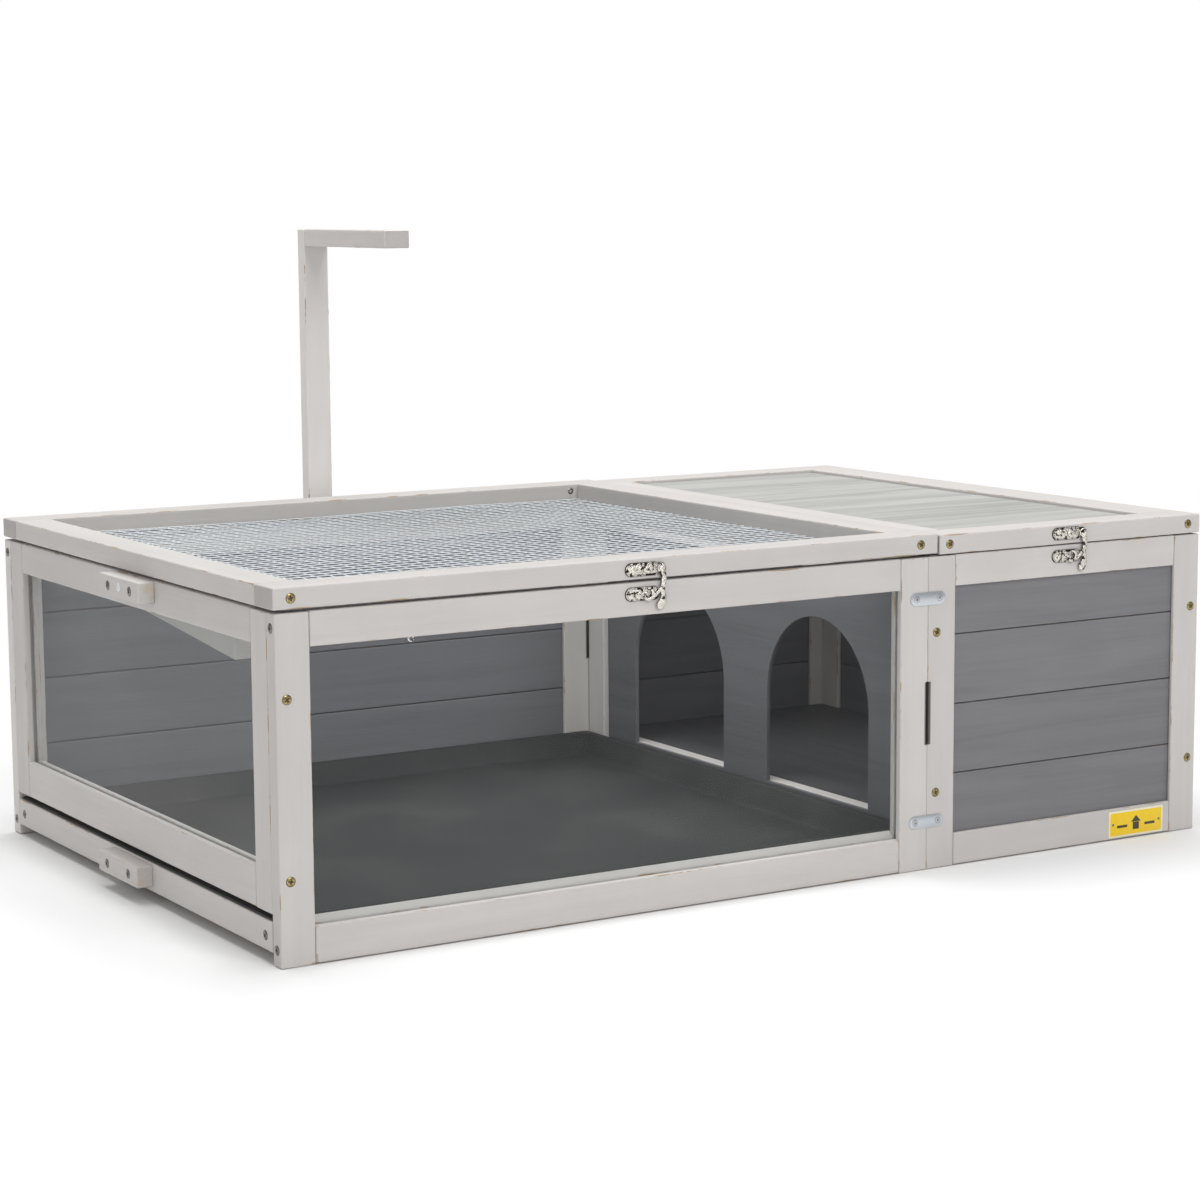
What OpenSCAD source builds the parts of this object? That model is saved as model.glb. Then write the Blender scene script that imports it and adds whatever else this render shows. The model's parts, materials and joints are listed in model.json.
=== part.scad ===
// Small-animal hutch for indoor use: a glazed run with a wire-mesh lid,
// a planked house with a solid lid, a pull-out tray and a lamp post.
// Working frame: X runs along the front from the run's left end,
// Y runs from the front face to the back, Z is up from the floor.
// place() moves that corner to the middle of the whole object's base.

/* [Body] */
// Length of the two modules together
body_l = 950; // [900:10:1000]
// Depth of the modules
body_d = 600; // [560:10:640]
// Height of the walls, without the lids
wall_h = 282; // [276:1:300]
// Length of the run module
run_l = 633; // [600:1:660]

/* [Timber] */
// Thickness of the wall timber
timber_t = 15; // [14:1:16]
// Width of the stiles
stile_w = 30; // [28:1:34]
// Height of the top rails
top_rail_h = 28; // [26:1:32]
// Chamfer along the timber edges
ease = 0.8; // [0.4:0.1:1.2]

/* [Panes and planks] */
// Thickness of the clear panes
pane_t = 3; // [2:0.5:4]
// Thickness of the planks
plank_t = 6; // [5:1:7]
// Pitch of the planks
plank_pitch = 63; // [60:1:66]

/* [Lids] */
// Thickness of the lid frames
lid_t = 17.5; // [16:0.5:20]
// Width of the lid rails
lid_rail_w = 34; // [30:1:38]
// Gap under the run lid
run_lid_gap = 2.5; // [2:0.5:4]
// Gap under the house lid
house_lid_gap = 1; // [1:0.5:2]
// Overhang of the lids at both ends
lid_over = 1; // [0:0.5:2]
// Pitch of the mesh wires
mesh_pitch = 12.7; // [10:0.1:16]
// Diameter of the mesh wires
wire_d = 1; // [0.8:0.1:1.4]

/* [Arches] */
// Radius of each arch
arch_r = 82; // [70:1:86]
// Distance of each arch's middle from the middle of the divider
arch_offset = 120; // [110:1:124]
// Height of the arch tops
arch_top = 206; // [190:1:214]

/* [Tray] */
// Height of the drawer front
drawer_h = 25; // [24:1:26]
// Clearance under the drawer
drawer_z = 10; // [9:1:11]
// Clearance beside the drawer
drawer_gap = 1; // [0.6:0.2:2]

/* [Lamp post] */
// Width of the post and arm
post_w = 26; // [24:1:32]
// Thickness of the post and arm
post_t = 15; // [14:1:18]
// Height of the post's top
post_top = 568; // [520:1:620]
// Reach of the arm in front of the post
arm_reach = 177; // [150:1:200]
// Distance of the post from the back wall
post_standoff = 23; // [22:1:26]

/* [Hidden] */
$fn = 32;

// Paint and material colours
grey_paint = [0.78, 0.77, 0.75];
slate_paint = [0.42, 0.43, 0.45];
board_paint = [0.76, 0.76, 0.73];
black_plastic = [0.16, 0.16, 0.16];
bare_wood = [0.74, 0.66, 0.55];
zinc = [0.8, 0.82, 0.84];
nickel = [0.78, 0.76, 0.72];
brass = [0.75, 0.62, 0.32];
clear_pane = [0.8, 0.85, 0.85, 0.35];

// Heights of the wall parts
rail_top_z = wall_h - top_rail_h;
bottom_rail_z = 1;
bottom_rail_top = 31;
lip_top = 37.5;
side_rail_z = 41;
side_rail_top = 75;
floor_clear = drawer_z - 0.4;

// Grooves that hold the panes and planks
groove_depth = 5;
pane_v = 6.5;
plank_v = 4;
groove_slack = 0.2;
groove_top_z = rail_top_z + 10;
groove_bottom_z = 20;
sheet_bite = 4;

// Joints between the planks
plank_joints = 3;
first_joint_z = 84;
plank_gap = 0.2;

// Fixed house floor
floor_top = 36;
floor_t = 6;
fit_gap = 0.3;

// Relief slots in the edges where the two modules meet
relief_z0 = 113;
relief_z1 = 171;
relief_depth = 1.4;

// Divider between the run and the house
divider_x = run_l;
panel_x = divider_x + 7;
panel_t = 4;
sill_top = 36;

// Tray
drawer_y0 = timber_t + drawer_gap;
drawer_y1 = body_d - timber_t - drawer_gap;
drawer_x1 = run_l - 3;
drawer_rail_top = 25;
drawer_rail_w = 9;
drawer_rail_inset = 3;
drawer_screw_y = 29;
drawer_screw_z = 22;
ply_t = 3;
runner_w = 13;
liner_top = 37;
liner_floor = 17;
liner_rim = 4;
liner_lip_x = 1.5;
liner_foot = 26;

// Lids
run_lid_z = wall_h + run_lid_gap;
house_lid_z = wall_h + house_lid_gap;
lid_seam = run_l + 11;
seam_gap = 1.5;
board_count = 5;
board_drop = 3;
board_lid_t = 9;
house_left_rail = 28;
house_right_rail = 44;

// Handles
handle_l = 87;
handle_h = 18.5;
handle_t = 15;
carry_handle_y = 280;
carry_handle_z = 262.5;
drawer_handle_y = 301;
drawer_handle_z = 15;
handle_screw_half = 24;

// Tapered batten
batten_y = [110, 320];
batten_low_z = 230;
batten_high_z = 249;
batten_top_z = 278;

// Lamp post
post_x = 329;
post_foot = 70;
arm_t = 17;
post_y = body_d + post_standoff;
arm_front = post_y - arm_reach;
spacer_h = 40;

// Hinges
barrel_r = 2.6;
pin_r = 1.2;
pin_bore = 1.25;
hinge_y = body_d + 3.2;
leaf_t = 1.2;
leaf_h = 18;
knuckle_l = 14;
knuckle_gap = 0.5;
run_hinge_z = wall_h + run_lid_gap / 2;
house_hinge_z = wall_h + house_lid_gap / 2;
run_hinges = [90, 545];
house_hinges = [720, 880];

// Latches: centre heights, left ends and hook pivots
latch_x = [318, 772.5];
latch_lid_z = 292.7;
keeper_z = 272.2;
plate_t = 1.6;
plate_h = 11.5;
plate_l = 34;
pivot_dx = 34.5;
pivot_r = 1.8;
pivot_bore = 1.85;
hook_y0 = -3.7;
hook_t = 1.7;
claw_dx = 13;
latch_front = 5.4;

// Screw heads
screw_r = 3.6;
screw_h = 0.6;
front_screw_z = [69.5, 214];
side_screw_z = [14, 270];

// The whole object's base, for the frame's origin
min_x = -handle_t - screw_h;
max_x = body_l + lid_over;
min_y = -latch_front;
max_y = post_y + post_t;

module place() {
    translate([-(min_x + max_x) / 2, -(min_y + max_y) / 2, 0]) children();
}

// Outline of a timber section with eased edges
function eased(w, h) = [
    [ease, 0], [w - ease, 0], [w, ease], [w, h - ease],
    [w - ease, h], [ease, h], [0, h - ease], [0, ease]
];

// Upright timber
module upright(x0, x1, y0, y1, z0, z1) {
    translate([x0, y0, z0])
        linear_extrude(z1 - z0)
            polygon(eased(x1 - x0, y1 - y0));
}

// Timber that runs along X
module along_x(x0, x1, y0, y1, z0, z1) {
    translate([x0, y0, z0])
        rotate([90, 0, 90])
            linear_extrude(x1 - x0)
                polygon(eased(y1 - y0, z1 - z0));
}

// Timber that runs along Y
module along_y(x0, x1, y0, y1, z0, z1) {
    translate([x0, y1, z0])
        rotate([90, 0, 0])
            linear_extrude(y1 - y0)
                polygon(eased(x1 - x0, z1 - z0));
}

// Plain block between two corners
module block(x0, x1, y0, y1, z0, z1) {
    translate([x0, y0, z0]) cube([x1 - x0, y1 - y0, z1 - z0]);
}

// A wall is drawn as a front wall: X along it, Y into it, outer face at Y = 0
module as_back() { translate([0, body_d, 0]) mirror([0, 1, 0]) children(); }
module as_left() { mirror([1, -1, 0]) children(); }
module as_right() { translate([body_l, 0, 0]) mirror([1, 0, 0]) mirror([1, -1, 0]) children(); }

// Groove for a sheet of thickness t whose outer face is at depth v
module sheet_groove(x0, x1, z0, z1, v, t) {
    block(x0, x1, v - groove_slack, v + t + groove_slack, z0, z1);
}

// Stile with a groove in its inner edge: the right edge if right_side is true
module grooved_stile(x0, z0, v, t, right_side, groove_z0) {
    edge = right_side ? x0 + stile_w - groove_depth : x0;
    difference() {
        upright(x0, x0 + stile_w, 0, timber_t, z0, wall_h);
        translate([right_side ? 1 : -1, 0, 0])
            sheet_groove(edge, edge + groove_depth, groove_z0, groove_top_z, v, t);
    }
}

// Top rail with a groove in its underside
module grooved_top_rail(x0, x1, v, t) {
    difference() {
        along_x(x0, x1, 0, timber_t, rail_top_z, wall_h);
        sheet_groove(x0 - 1, x1 + 1, rail_top_z - 1, rail_top_z + groove_depth, v, t);
    }
}

// Bottom rail with a groove in its top
module grooved_bottom_rail(x0, x1, z0, z1, v, t) {
    difference() {
        along_x(x0, x1, 0, timber_t, z0, z1);
        sheet_groove(x0 - 1, x1 + 1, z1 - groove_depth, z1 + 1, v, t);
    }
}

// Planks stacked edge to edge, with V joints on both faces
module planks(x0, x1, z0, z1) {
    tops = [for (k = [1 : plank_joints]) first_joint_z + (k - 1) * plank_pitch];
    bottoms = concat([z0], tops);
    ends = concat(tops, [z1]);
    for (i = [0 : len(bottoms) - 1])
        along_x(x0, x1, plank_v, plank_v + plank_t, bottoms[i] + plank_gap / 2, ends[i] - plank_gap / 2);
}

// Cut for the relief slot where two stiles meet at x
module relief_cut(x) {
    translate([x - relief_depth, -1, relief_z0])
        cube([2 * relief_depth, timber_t + 2, relief_z1 - relief_z0]);
}

// Run module, front wall
module run_front_left_stile() {
    color(grey_paint) place()
        grooved_stile(0, 0, pane_v, pane_t, true, bottom_rail_top - groove_depth);
}
module run_front_right_stile() {
    color(grey_paint) place() difference() {
        grooved_stile(run_l - stile_w, 0, pane_v, pane_t, false, bottom_rail_top - groove_depth);
        relief_cut(run_l);
    }
}
module run_front_top_rail() {
    color(grey_paint) place()
        grooved_top_rail(stile_w, run_l - stile_w, pane_v, pane_t);
}
module run_front_bottom_rail() {
    x0 = stile_w;
    x1 = run_l - stile_w;
    color(grey_paint) place() difference() {
        union() {
            along_x(x0, x1, 0, timber_t, bottom_rail_z, bottom_rail_top);
            along_x(x0, x1, pane_v + pane_t + groove_slack, timber_t, bottom_rail_top - 8, lip_top);
        }
        sheet_groove(x0 - 1, x1 + 1, bottom_rail_top - groove_depth, lip_top + 1, pane_v, pane_t);
    }
}
module run_front_pane() {
    color(clear_pane) place()
        block(stile_w - sheet_bite, run_l - stile_w + sheet_bite, pane_v, pane_v + pane_t,
              bottom_rail_top - sheet_bite, rail_top_z + sheet_bite);
}

// Run module, left wall
module run_side_stiles() {
    color(grey_paint) place() as_left() {
        grooved_stile(timber_t, side_rail_z, pane_v, pane_t, true, side_rail_z);
        grooved_stile(body_d - timber_t - stile_w, side_rail_z, pane_v, pane_t, false, side_rail_z);
    }
}
module run_side_rails() {
    x0 = timber_t + stile_w;
    x1 = body_d - x0;
    color(grey_paint) place() as_left() {
        grooved_top_rail(x0, x1, pane_v, pane_t);
        grooved_bottom_rail(x0, x1, side_rail_z, side_rail_top, pane_v, pane_t);
    }
}
module run_side_pane() {
    x0 = timber_t + stile_w;
    color(clear_pane) place() as_left()
        block(x0 - sheet_bite, body_d - x0 + sheet_bite, pane_v, pane_v + pane_t,
              side_rail_top - sheet_bite, rail_top_z + sheet_bite);
}

// Tapered batten against the inside of the left top rail
module inner_batten() {
    color(grey_paint) place()
        translate([timber_t, 0, 0])
            rotate([90, 0, 90])
                linear_extrude(timber_t)
                    polygon([
                        [batten_y[0], batten_low_z], [batten_y[0], batten_top_z],
                        [batten_y[1], batten_top_z], [batten_y[1], batten_high_z],
                        [batten_y[1] - 16, batten_high_z]
                    ]);
}

// Handle blocks
module handle_block(y, z) {
    along_y(-handle_t, 0, y - handle_l / 2, y + handle_l / 2, z, z + handle_h);
}
module handle_heads(y, z) {
    for (s = [-1, 1])
        translate([-handle_t, y + s * handle_screw_half, z + handle_h / 2])
            rotate([0, -90, 0])
                cylinder(r = screw_r, h = screw_h);
}
module carry_handle() { color(bare_wood) place() handle_block(carry_handle_y, carry_handle_z); }
module carry_handle_screws() {
    color(zinc) place() handle_heads(carry_handle_y, carry_handle_z);
}

// Run module, back wall
module run_back_stiles() {
    color(grey_paint) place() as_back() {
        grooved_stile(0, 0, plank_v, plank_t, true, groove_bottom_z);
        difference() {
            grooved_stile(run_l - stile_w, 0, plank_v, plank_t, false, groove_bottom_z);
            relief_cut(run_l);
        }
    }
}
module run_back_rails() {
    color(grey_paint) place() as_back() {
        grooved_top_rail(stile_w, run_l - stile_w, plank_v, plank_t);
        grooved_bottom_rail(stile_w, run_l - stile_w, bottom_rail_z, bottom_rail_top, plank_v, plank_t);
    }
}
module run_back_planks() {
    color(slate_paint) place() as_back()
        planks(stile_w - sheet_bite, run_l - stile_w + sheet_bite,
               bottom_rail_top - sheet_bite, rail_top_z + sheet_bite);
}

// Divider: frame with an arched panel
module divider_stiles() {
    color(grey_paint) place() for (y = [timber_t, body_d - timber_t - stile_w]) {
        front = y < body_d / 2;
        difference() {
            upright(divider_x, divider_x + timber_t, y, y + stile_w, 0, wall_h);
            block(panel_x - groove_slack, panel_x + panel_t + groove_slack,
                  front ? y + stile_w - groove_depth : y - 1,
                  front ? y + stile_w + 1 : y + groove_depth, groove_bottom_z, groove_top_z);
        }
    }
}
module divider_rails() {
    y0 = timber_t + stile_w;
    sill_x = panel_x + panel_t + 0.1;
    color(grey_paint) place() {
        difference() {
            along_y(divider_x, divider_x + timber_t, y0, body_d - y0, rail_top_z, wall_h);
            block(panel_x - groove_slack, panel_x + panel_t + groove_slack, y0 - 1, body_d - y0 + 1,
                  rail_top_z - 1, rail_top_z + groove_depth);
        }
        along_y(sill_x, sill_x + timber_t, y0, body_d - y0, bottom_rail_z, sill_top);
    }
}
module divider_panel() {
    y0 = timber_t + stile_w - sheet_bite;
    z0 = groove_bottom_z + 4;
    spring_z = arch_top - arch_r;
    color(slate_paint) place() translate([panel_x, 0, 0]) rotate([90, 0, 90])
        linear_extrude(panel_t) difference() {
            translate([y0, z0]) square([body_d - 2 * y0, rail_top_z + sheet_bite - z0]);
            for (s = [-1, 1]) translate([body_d / 2 + s * arch_offset, 0]) {
                translate([0, spring_z]) circle(r = arch_r, $fn = 96);
                translate([-arch_r, sill_top]) square([2 * arch_r, spring_z - sill_top]);
            }
        }
}

// House module, front wall
module house_front_left_stile() {
    color(grey_paint) place() difference() {
        grooved_stile(run_l, 0, plank_v, plank_t, true, groove_bottom_z);
        relief_cut(run_l);
    }
}
module house_front_right_stile() {
    color(grey_paint) place()
        grooved_stile(body_l - stile_w, 0, plank_v, plank_t, false, groove_bottom_z);
}
module house_front_top_rail() {
    color(grey_paint) place()
        grooved_top_rail(run_l + stile_w, body_l - stile_w, plank_v, plank_t);
}
module house_front_bottom_rail() {
    color(grey_paint) place()
        grooved_bottom_rail(run_l + stile_w, body_l - stile_w, bottom_rail_z, bottom_rail_top - 1,
                            plank_v, plank_t);
}
module house_front_planks() {
    color(slate_paint) place()
        planks(run_l + stile_w - sheet_bite, body_l - stile_w + sheet_bite,
               bottom_rail_top - 1 - sheet_bite, rail_top_z + sheet_bite);
}

// House module, right wall
module house_side_stiles() {
    color(grey_paint) place() as_right() {
        grooved_stile(timber_t, 0, plank_v, plank_t, true, groove_bottom_z);
        grooved_stile(body_d - timber_t - stile_w, 0, plank_v, plank_t, false, groove_bottom_z);
    }
}
module house_side_rails() {
    x0 = timber_t + stile_w;
    color(grey_paint) place() as_right() {
        grooved_top_rail(x0, body_d - x0, plank_v, plank_t);
        grooved_bottom_rail(x0, body_d - x0, bottom_rail_z, bottom_rail_top, plank_v, plank_t);
    }
}
module house_side_planks() {
    x0 = timber_t + stile_w - sheet_bite;
    color(slate_paint) place() as_right()
        planks(x0, body_d - x0, bottom_rail_top - sheet_bite, rail_top_z + sheet_bite);
}

// House module, back wall
module house_back_stiles() {
    color(grey_paint) place() as_back() {
        difference() {
            grooved_stile(run_l, 0, plank_v, plank_t, true, groove_bottom_z);
            relief_cut(run_l);
        }
        grooved_stile(body_l - stile_w, 0, plank_v, plank_t, false, groove_bottom_z);
    }
}
module house_back_rails() {
    color(grey_paint) place() as_back() {
        grooved_top_rail(run_l + stile_w, body_l - stile_w, plank_v, plank_t);
        grooved_bottom_rail(run_l + stile_w, body_l - stile_w, bottom_rail_z, bottom_rail_top,
                            plank_v, plank_t);
    }
}
module house_back_planks() {
    color(slate_paint) place() as_back()
        planks(run_l + stile_w - sheet_bite, body_l - stile_w + sheet_bite,
               bottom_rail_top - sheet_bite, rail_top_z + sheet_bite);
}

// Floors and runners
module house_floor() {
    x0 = panel_x + panel_t + timber_t;
    color(slate_paint) place()
        block(x0 + fit_gap, body_l - timber_t - fit_gap, timber_t + fit_gap,
              body_d - timber_t - fit_gap, floor_top - floor_t, floor_top);
}

module tray_runners() {
    color(bare_wood) place() {
        for (y = [timber_t, body_d - timber_t - runner_w])
            block(stile_w, run_l - 1, y, y + runner_w, bottom_rail_z, floor_clear);
    }
}

// Pull-out tray
module drawer_front() {
    color(grey_paint) place()
        along_y(0, timber_t, drawer_y0, drawer_y1, drawer_z, drawer_z + drawer_h);
}
module drawer_rails() {
    y_in = drawer_y0 + drawer_rail_inset;
    y_out = drawer_y1 - drawer_rail_inset;
    z0 = drawer_z + ply_t;
    color(bare_wood) place() {
        for (y = [y_in, y_out - drawer_rail_w])
            block(timber_t, drawer_x1, y, y + drawer_rail_w, z0, drawer_rail_top);
        block(drawer_x1 - drawer_rail_w, drawer_x1, y_in + drawer_rail_w, y_out - drawer_rail_w,
              z0, drawer_rail_top);
    }
}
module drawer_bottom() {
    color(bare_wood) place()
        block(timber_t, drawer_x1, drawer_y0 + 2, drawer_y1 - 2, drawer_z, drawer_z + ply_t);
}
module drawer_handle() { color(bare_wood) place() handle_block(drawer_handle_y, drawer_handle_z); }
module drawer_screws() {
    color(zinc) place() {
        handle_heads(drawer_handle_y, drawer_handle_z);
        for (y = [drawer_screw_y, body_d - drawer_screw_y])
            translate([0, y, drawer_screw_z]) rotate([0, -90, 0]) cylinder(r = screw_r, h = screw_h);
    }
}
// Pan with sloped sides: it sits on the ply, and its rim covers the drawer's rails
module run_liner() {
    x0 = timber_t + 0.2;
    z0 = drawer_z + ply_t;
    inset = drawer_rail_inset + drawer_rail_w + 1;
    color(black_plastic) place() difference() {
        union() {
            block(x0, drawer_x1, drawer_y0, drawer_y1, z0, liner_top);
            block(liner_lip_x, x0 + liner_rim, drawer_y0, drawer_y1, drawer_z + drawer_h, liner_top);
        }
        difference() {
            block(x0 - 1, drawer_x1 + 1, drawer_y0 - 1, drawer_y1 + 1, z0 - 1,
                  drawer_rail_top + 0.1);
            block(x0, drawer_x1 - drawer_rail_w - 1, drawer_y0 + inset, drawer_y1 - inset,
                  z0 - 2, drawer_rail_top + 1);
        }
        hull() {
            block(x0 + liner_rim, drawer_x1 - liner_rim, drawer_y0 + liner_rim,
                  drawer_y1 - liner_rim, liner_top, liner_top + 0.1);
            block(x0 + liner_foot, drawer_x1 - liner_foot, drawer_y0 + liner_foot,
                  drawer_y1 - liner_foot, liner_floor, liner_floor + 0.1);
        }
    }
}

// Run lid
run_lid_x0 = -lid_over;
run_lid_x1 = lid_seam - seam_gap / 2;
module run_lid_long_rails() {
    color(grey_paint) place() for (y = [0, body_d - lid_rail_w])
        along_x(run_lid_x0, run_lid_x1, y, y + lid_rail_w, run_lid_z, run_lid_z + lid_t);
}
module run_lid_side_rails() {
    color(grey_paint) place() for (x = [run_lid_x0, run_lid_x1 - lid_rail_w])
        along_y(x, x + lid_rail_w, lid_rail_w, body_d - lid_rail_w, run_lid_z, run_lid_z + lid_t);
}
// Two layers of straight wires let into the inner edges of the frame
module run_lid_mesh() {
    x0 = run_lid_x0 + lid_rail_w + 0.2;
    x1 = run_lid_x1 - lid_rail_w - 0.2;
    y0 = lid_rail_w + 0.2;
    y1 = body_d - lid_rail_w - 0.2;
    nx = floor((x1 - x0) / mesh_pitch);
    ny = floor((y1 - y0) / mesh_pitch);
    z = run_lid_z + 1.6;
    color(zinc) place() {
        for (i = [0 : nx])
            translate([x0 + (x1 - x0 - nx * mesh_pitch) / 2 + i * mesh_pitch, y1, z])
                rotate([90, 0, 0]) cylinder(d = wire_d, h = y1 - y0, $fn = 16);
        for (j = [0 : ny])
            translate([x0, y0 + (y1 - y0 - ny * mesh_pitch) / 2 + j * mesh_pitch, z + wire_d + 0.02])
                rotate([0, 90, 0]) cylinder(d = wire_d, h = x1 - x0, $fn = 16);
    }
}
// Screw heads on a front face or on a back face
module front_heads(xs, z) {
    for (x = xs) translate([x, 0, z]) rotate([90, 0, 0]) cylinder(r = screw_r, h = screw_h);
}
module run_lid_screws() {
    color(brass) place() {
        front_heads([14.5, run_lid_x1 - 19], run_lid_z + lid_t / 2);
        as_back() front_heads([14.5, run_lid_x1 - 19], run_lid_z + lid_t / 2);
    }
}

// House lid
house_lid_x0 = lid_seam + seam_gap / 2;
house_lid_x1 = body_l + lid_over;
module house_lid_long_rails() {
    color(grey_paint) place() for (y = [0, body_d - lid_rail_w])
        along_x(house_lid_x0, house_lid_x1, y, y + lid_rail_w, house_lid_z, house_lid_z + lid_t);
}
module house_lid_side_rails() {
    color(grey_paint) place() {
        along_y(house_lid_x0, house_lid_x0 + house_left_rail, lid_rail_w, body_d - lid_rail_w,
                house_lid_z, house_lid_z + lid_t);
        along_y(house_lid_x1 - house_right_rail, house_lid_x1, lid_rail_w, body_d - lid_rail_w,
                house_lid_z, house_lid_z + lid_t);
    }
}
module house_lid_boards() {
    x0 = house_lid_x0 + house_left_rail + 0.6;
    x1 = house_lid_x1 - house_right_rail - 1.2;
    y0 = lid_rail_w + 0.6;
    y1 = body_d - lid_rail_w - 1.2;
    w = (y1 - y0) / board_count;
    top = house_lid_z + lid_t - board_drop;
    color(board_paint) place() for (i = [0 : board_count - 1])
        along_x(x0, x1, y0 + i * w + 0.15, y0 + (i + 1) * w - 0.15, top - board_lid_t, top);
}
module house_lid_screws() {
    color(brass) place() {
        front_heads([house_lid_x0 + 11.5, house_lid_x1 - 15], house_lid_z + lid_t / 2);
        as_back() front_heads([house_lid_x0 + 11.5, house_lid_x1 - 15], house_lid_z + lid_t / 2);
    }
}

// Latches: an oval plate with a riveted hook, and an oval keeper with a stud
module oval_plate(x, z) {
    translate([x + plate_h / 2, 0, z]) rotate([90, 0, 0]) linear_extrude(plate_t) {
        circle(d = plate_h);
        translate([plate_l - plate_h, 0]) circle(d = plate_h);
        translate([0, -plate_h / 2]) square([plate_l - plate_h, plate_h]);
    }
    translate([x + 8, -plate_t, z]) rotate([90, 0, 0]) cylinder(r = 3.4, h = 1);
}
module latch_plate(x) {
    oval_plate(x, latch_lid_z);
    translate([x + 20, -plate_t, latch_lid_z]) rotate([90, 0, 0]) cylinder(r = 3.4, h = 1);
    // Ear and rivet that carry the hook
    translate([x + pivot_dx, 0, latch_lid_z]) rotate([90, 0, 0]) {
        cylinder(r = 5, h = plate_t);
        cylinder(r = pivot_r, h = latch_front - 1);
        translate([0, 0, latch_front - 1.3]) cylinder(r = 3, h = 1.3);
    }
}
// The claw is open up and to the left, along the arc that the stud takes when the hook swings
module latch_hook(x) {
    claw = [-claw_dx, keeper_z - latch_lid_z];
    translate([x + pivot_dx, hook_y0 + hook_t, latch_lid_z]) rotate([90, 0, 0])
        linear_extrude(hook_t) difference() {
            union() {
                circle(r = 4);
                translate([-1.4, -30]) square([5, 30]);
                translate([-0.4, -31.6]) circle(r = 4);
                translate(claw) circle(r = 6);
                translate(claw + [2, -5.6]) square([claw_dx, 7.6]);
            }
            circle(r = pivot_bore);
            translate(claw) circle(r = 3.3);
            translate(claw) rotate(150) translate([0, -3.3]) square([12, 6.6]);
        }
}
module run_latch_plate() { color(nickel) place() latch_plate(latch_x[0]); }
module house_latch_plate() { color(nickel) place() latch_plate(latch_x[1]); }
module run_latch_hook() { color(nickel) place() latch_hook(latch_x[0]); }
module house_latch_hook() { color(nickel) place() latch_hook(latch_x[1]); }
module latch_keepers() {
    color(nickel) place() for (x = latch_x) {
        oval_plate(x, keeper_z);
        translate([x + pivot_dx - claw_dx, 0, keeper_z]) rotate([90, 0, 0])
            cylinder(r = 2.8, h = plate_t + 0.1);
    }
}

// Hinges: the middle knuckle is on the lid's leaf, the outer two on the fixed leaf
hinge_l = 3 * knuckle_l + 2 * knuckle_gap;
module knuckle(x, z, l) {
    translate([x, hinge_y, z]) rotate([0, 90, 0]) cylinder(r = barrel_r, h = l);
}
module fixed_leaf(x, z) {
    difference() {
        union() {
            block(x, x + hinge_l, body_d + 0.02, body_d + leaf_t, z - leaf_h, z - 3.3);
            for (i = [0, 2]) {
                s = x + i * (knuckle_l + knuckle_gap);
                block(s, s + knuckle_l, body_d + 0.02, body_d + leaf_t, z - 4, z);
                knuckle(s, z, knuckle_l);
            }
        }
        translate([x - 1, hinge_y, z]) rotate([0, 90, 0]) cylinder(r = pin_bore, h = hinge_l + 2);
    }
}
module lid_leaf(x, z) {
    s = x + knuckle_l + knuckle_gap;
    difference() {
        union() {
            block(x, x + hinge_l, body_d + 0.02, body_d + leaf_t, z + 3.3, z + leaf_h - 1);
            block(s, s + knuckle_l, body_d + 0.02, body_d + leaf_t, z, z + 4);
            knuckle(s, z, knuckle_l);
        }
        translate([s - 1, hinge_y, z]) rotate([0, 90, 0]) cylinder(r = pin_bore, h = knuckle_l + 2);
    }
}
module hinge_fixed_leaves() {
    color(zinc) place() {
        for (x = run_hinges) fixed_leaf(x, run_hinge_z);
        for (x = house_hinges) fixed_leaf(x, house_hinge_z);
    }
}
module run_lid_hinge_leaves() {
    color(zinc) place() for (x = run_hinges) lid_leaf(x, run_hinge_z);
}
module house_lid_hinge_leaves() {
    color(zinc) place() for (x = house_hinges) lid_leaf(x, house_hinge_z);
}
module hinge_pins() {
    color(zinc) place() {
        for (x = run_hinges) translate([x, hinge_y, run_hinge_z])
            rotate([0, 90, 0]) cylinder(r = pin_r, h = hinge_l);
        for (x = house_hinges) translate([x, hinge_y, house_hinge_z])
            rotate([0, 90, 0]) cylinder(r = pin_r, h = hinge_l);
    }
}

// Straps that join the two modules, with two screw heads each
module strap(x, z) {
    l = 38;
    h = 11.5;
    translate([x, 0, z]) rotate([90, 0, 0]) linear_extrude(1) {
        for (s = [-1, 1]) translate([s * (l - h) / 2, 0]) circle(d = h);
        translate([-(l - h) / 2, -h / 2]) square([l - h, h]);
    }
    for (s = [-1, 1]) translate([x + s * 12.5, -1, z]) rotate([90, 0, 0]) cylinder(r = 2.6, h = 0.5);
}
module joining_straps() {
    color(zinc) place() {
        for (z = [44.3, 245]) strap(run_l - 1, z);
        as_back() for (z = [44.3, 245]) strap(run_l - 1, z);
    }
}

module frame_screws() {
    xs = [9.5, run_l + 9.5, body_l - 9];
    color(brass) place() {
        for (z = front_screw_z) {
            front_heads(xs, z);
            as_back() front_heads(xs, z);
        }
    }
}
// Screws in the ends of the front and back walls, on both end faces
module end_screws() {
    color(zinc) place() for (z = side_screw_z) {
        as_left() front_heads([timber_t / 2, body_d - timber_t / 2], z);
        as_right() front_heads([timber_t / 2, body_d - timber_t / 2], z);
    }
}

module label_plate() {
    color("gold") place() {
        block(845, 911, -1, -0.02, 2.5, 27.5);
        for (x = [850, 906]) translate([x, -1, 15]) rotate([90, 0, 0]) cylinder(r = 1, h = 0.5);
    }
}

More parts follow.
